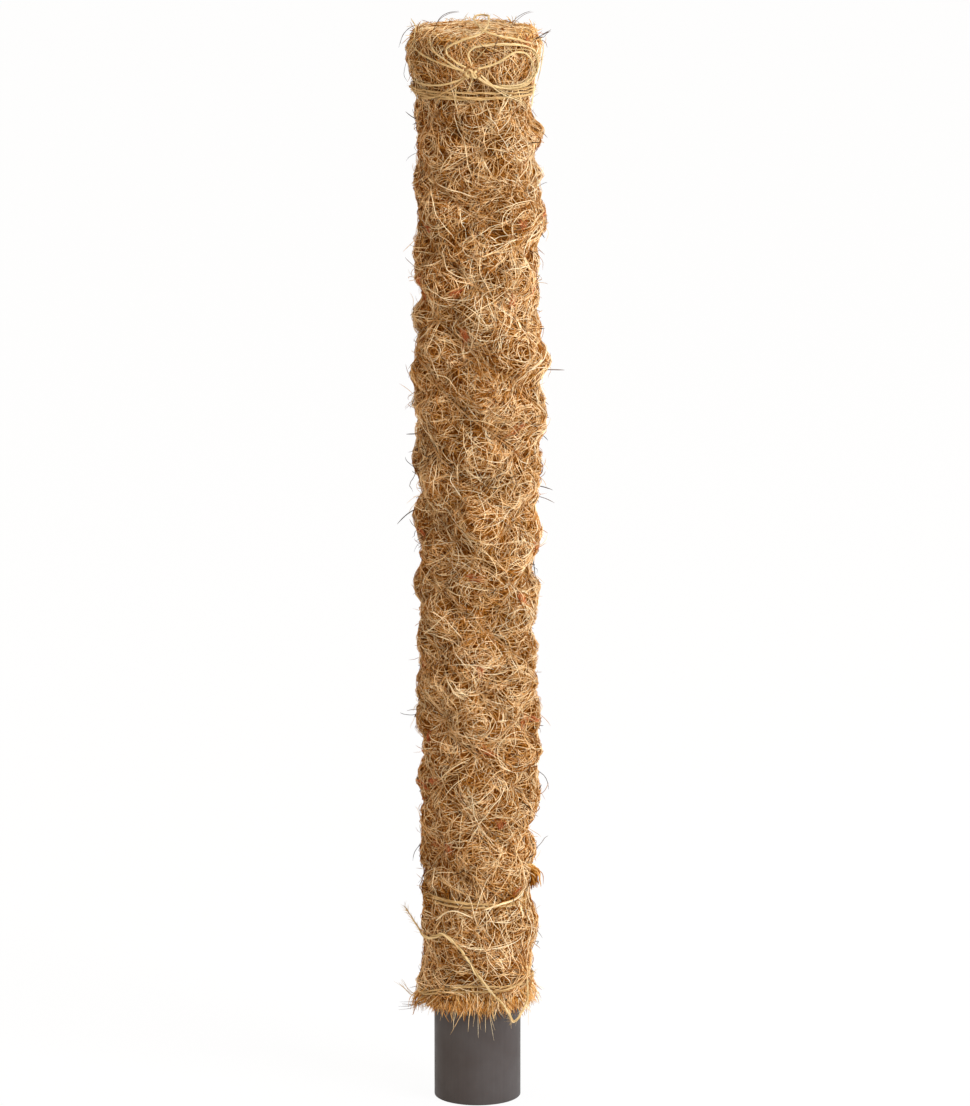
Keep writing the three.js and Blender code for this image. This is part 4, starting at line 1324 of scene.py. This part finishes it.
def tangle(rows):
    """How far the knot's twine goes to one side and the other, as a column."""
    turn = np.linspace(0, FULL_TURN, KNOT_STEPS)[:, None]
    return KNOT_RADIUS * sum(size * np.sin(count * turn + start) for size, count, start in rows)


def knot_path(tie):
    """A tight tangle of twine that lies flat on the mat."""
    ends = mat_radius(np.array([tie.knot_height - KNOT_REACH, tie.knot_height + KNOT_REACH]))
    middle = ends.max() + SEAT + KNOT_DEPTH * KNOT_RADIUS + TWINE / 2
    across = np.array([math.cos(tie.knot_angle), math.sin(tie.knot_angle), 0])
    outward = np.array([math.sin(tie.knot_angle), -math.cos(tie.knot_angle), 0])
    upward = np.array([0, 0, 1])
    centre = outward * middle + upward * tie.knot_height
    return centre + tangle(KNOT_ACROSS) * across + tangle(KNOT_UP) * upward - tangle(KNOT_IN) * outward


for label, tie in (("top", TOP_TIE), ("middle", MIDDLE_TIE), ("bottom", BOTTOM_TIE)):
    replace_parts(add_twine(f"{label}_tie_twine", tie_path(tie), TWINE, material=TIED), f"{label}_tie")
    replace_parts(add_twine(f"{label}_knot_twine", evenly(knot_path(tie), TWINE_STEP), TWINE), f"{label}_knot")


def add_thread():
    """One thread that rises and falls round the mat, along its grooves."""
    step = np.arange(PASSES * ROWS * THREAD_STEPS + 1) / THREAD_STEPS
    way = step % (2 * ROWS)
    row = np.where(way > ROWS, 2 * ROWS - way, way)
    falls = way > ROWS
    height = LOWEST_THREAD + row / ROWS * (HIGHEST_THREAD - LOWEST_THREAD)
    thick = MAT_AT_LOWEST_THREAD + row / ROWS * (MAT_AT_HIGHEST_THREAD - MAT_AT_LOWEST_THREAD)
    over = np.where(falls, np.cos(row * math.pi / 2) ** 2, 0) * (THREAD_SEEN + SEAT)
    angle = step / COLUMNS * FULL_TURN
    path = around(angle, PIPE_RADIUS + thick + over + swells(angle, height), height)
    lines, radius = plied(twine_rng, evenly(path, THREAD_SPACING), THREAD_SEEN, PLAIN_SHAPE)
    piece = dress(tubes("lashing_thread", lines, radius, THREAD_SIDES), LASHING)
    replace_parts(piece, "binding_thread")


add_thread()


def add_fuzz():
    paths = np.concatenate(fuzz_lines)
    radius = taper(twine_rng, FUZZ_WIDTH, paths, STANDING)
    dress(tubes("twine_fuzz", paths, radius, FIBRE_SIDES), STRAW)


add_fuzz()
add_coir()


# Pipe

PIPE_SIDES = 160
PIPE_RINGS = 60
RIM_STEPS = 5


def add_pipe():
    inner, top = PIPE_RADIUS - PIPE_WALL, PAD_BOTTOM - SEAT
    bend = np.linspace(0, math.pi / 2, RIM_STEPS)
    rim = list(zip(PIPE_CHAMFER * (1 - np.sin(bend)), PIPE_CHAMFER * (1 - np.cos(bend))))
    rim_out = [(PIPE_RADIUS - aside, up) for aside, up in rim]
    rim_in = [(inner + aside, up) for aside, up in rim[::-1]]
    heights = np.linspace(PIPE_CHAMFER, top, PIPE_RINGS)[1:]
    wall = [(PIPE_RADIUS, h) for h in heights] + [(inner, h) for h in heights[::-1]]
    profile = np.array(rim_out + wall + rim_in)
    angle = np.arange(PIPE_SIDES) / PIPE_SIDES * FULL_TURN
    rings = around(angle[None], profile[:, :1], profile[:, 1:])
    piece = dress(closed_rings("pipe_shell", rings), pipe_material())
    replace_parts(piece, "core_pipe")


add_pipe()


# Floor and light

FLOOR_SIZE = 60  # metres
FLOOR_GREY = 0.86
FLOOR_ROUGHNESS = 0.9
FLOOR_GLOSS = 0.5
FLOOR_WHITE = 0.95  # how much of the camera's view of it is plain white
SKY = (0.935, 0.813, 0.69)  # a little warm, as light that has met the floor and the fibres
LAMP_COLOUR = (0.955, 1.015, 1.11)
LAMPS = [  # name, degrees from the front towards +X, degrees up, metres away, width, height, watts
    ("key", 52, 30, 2.6, 1.2, 1.2, 61),
    ("side", 102, 2, 0.9, 0.3, 0.6, 2.6),
]


def add_floor():
    """A floor that lights the part, and that the camera sees as nearly plain white."""
    half = FLOOR_SIZE / 2 / MM
    corners = np.array([[-half, -half, 0], [half, -half, 0], [half, half, 0], [-half, half, 0]])
    floor = finish_mesh("floor", corners, np.arange(4), np.array([4]))
    shader = Shader("floor", FLOOR_ROUGHNESS, FLOOR_GLOSS)
    shader.set("Base Color", (FLOOR_GREY, FLOOR_GREY, FLOOR_GREY, 1))
    white = shader.math("MULTIPLY", shader.camera_share(), FLOOR_WHITE)
    glow = shader.node("Emission").outputs["Emission"]
    mixed = shader.node("MixShader", {"Fac": white, 1: shader.surface.outputs["BSDF"], 2: glow})
    shader.give(shader.tree.nodes["Material Output"].inputs["Surface"], mixed.outputs["Shader"])
    floor.data.materials.append(shader.material)


def add_lamp(name, azimuth, elevation, distance, width, height, power):
    lamp = bpy.data.lights.new(name, "AREA")
    lamp.shape = "RECTANGLE"
    lamp.size, lamp.size_y = width, height
    lamp.energy = power
    lamp.color = LAMP_COLOUR
    holder = bpy.data.objects.new(name, lamp)
    away = Euler((math.radians(-elevation), 0, math.radians(azimuth))).to_matrix() @ Vector((0, -distance, 0))
    holder.location = Vector((0, 0, AIM_HEIGHT * MM)) + away
    holder.rotation_euler = (-away).to_track_quat("-Z", "Y").to_euler()
    holder.visible_camera = False
    bpy.context.scene.collection.objects.link(holder)


def set_world():
    world = bpy.data.worlds.new("studio")
    world.use_nodes = True
    nodes = Nodes(world.node_tree)
    shade = nodes.blend(nodes.camera_share(), (*SKY, 1), (1, 1, 1, 1))
    nodes.give(nodes.tree.nodes["Background"].inputs["Color"], shade)
    bpy.context.scene.world = world


add_floor()
for row in LAMPS:
    add_lamp(*row)
set_world()
bpy.context.scene.view_settings.view_transform = "Standard"
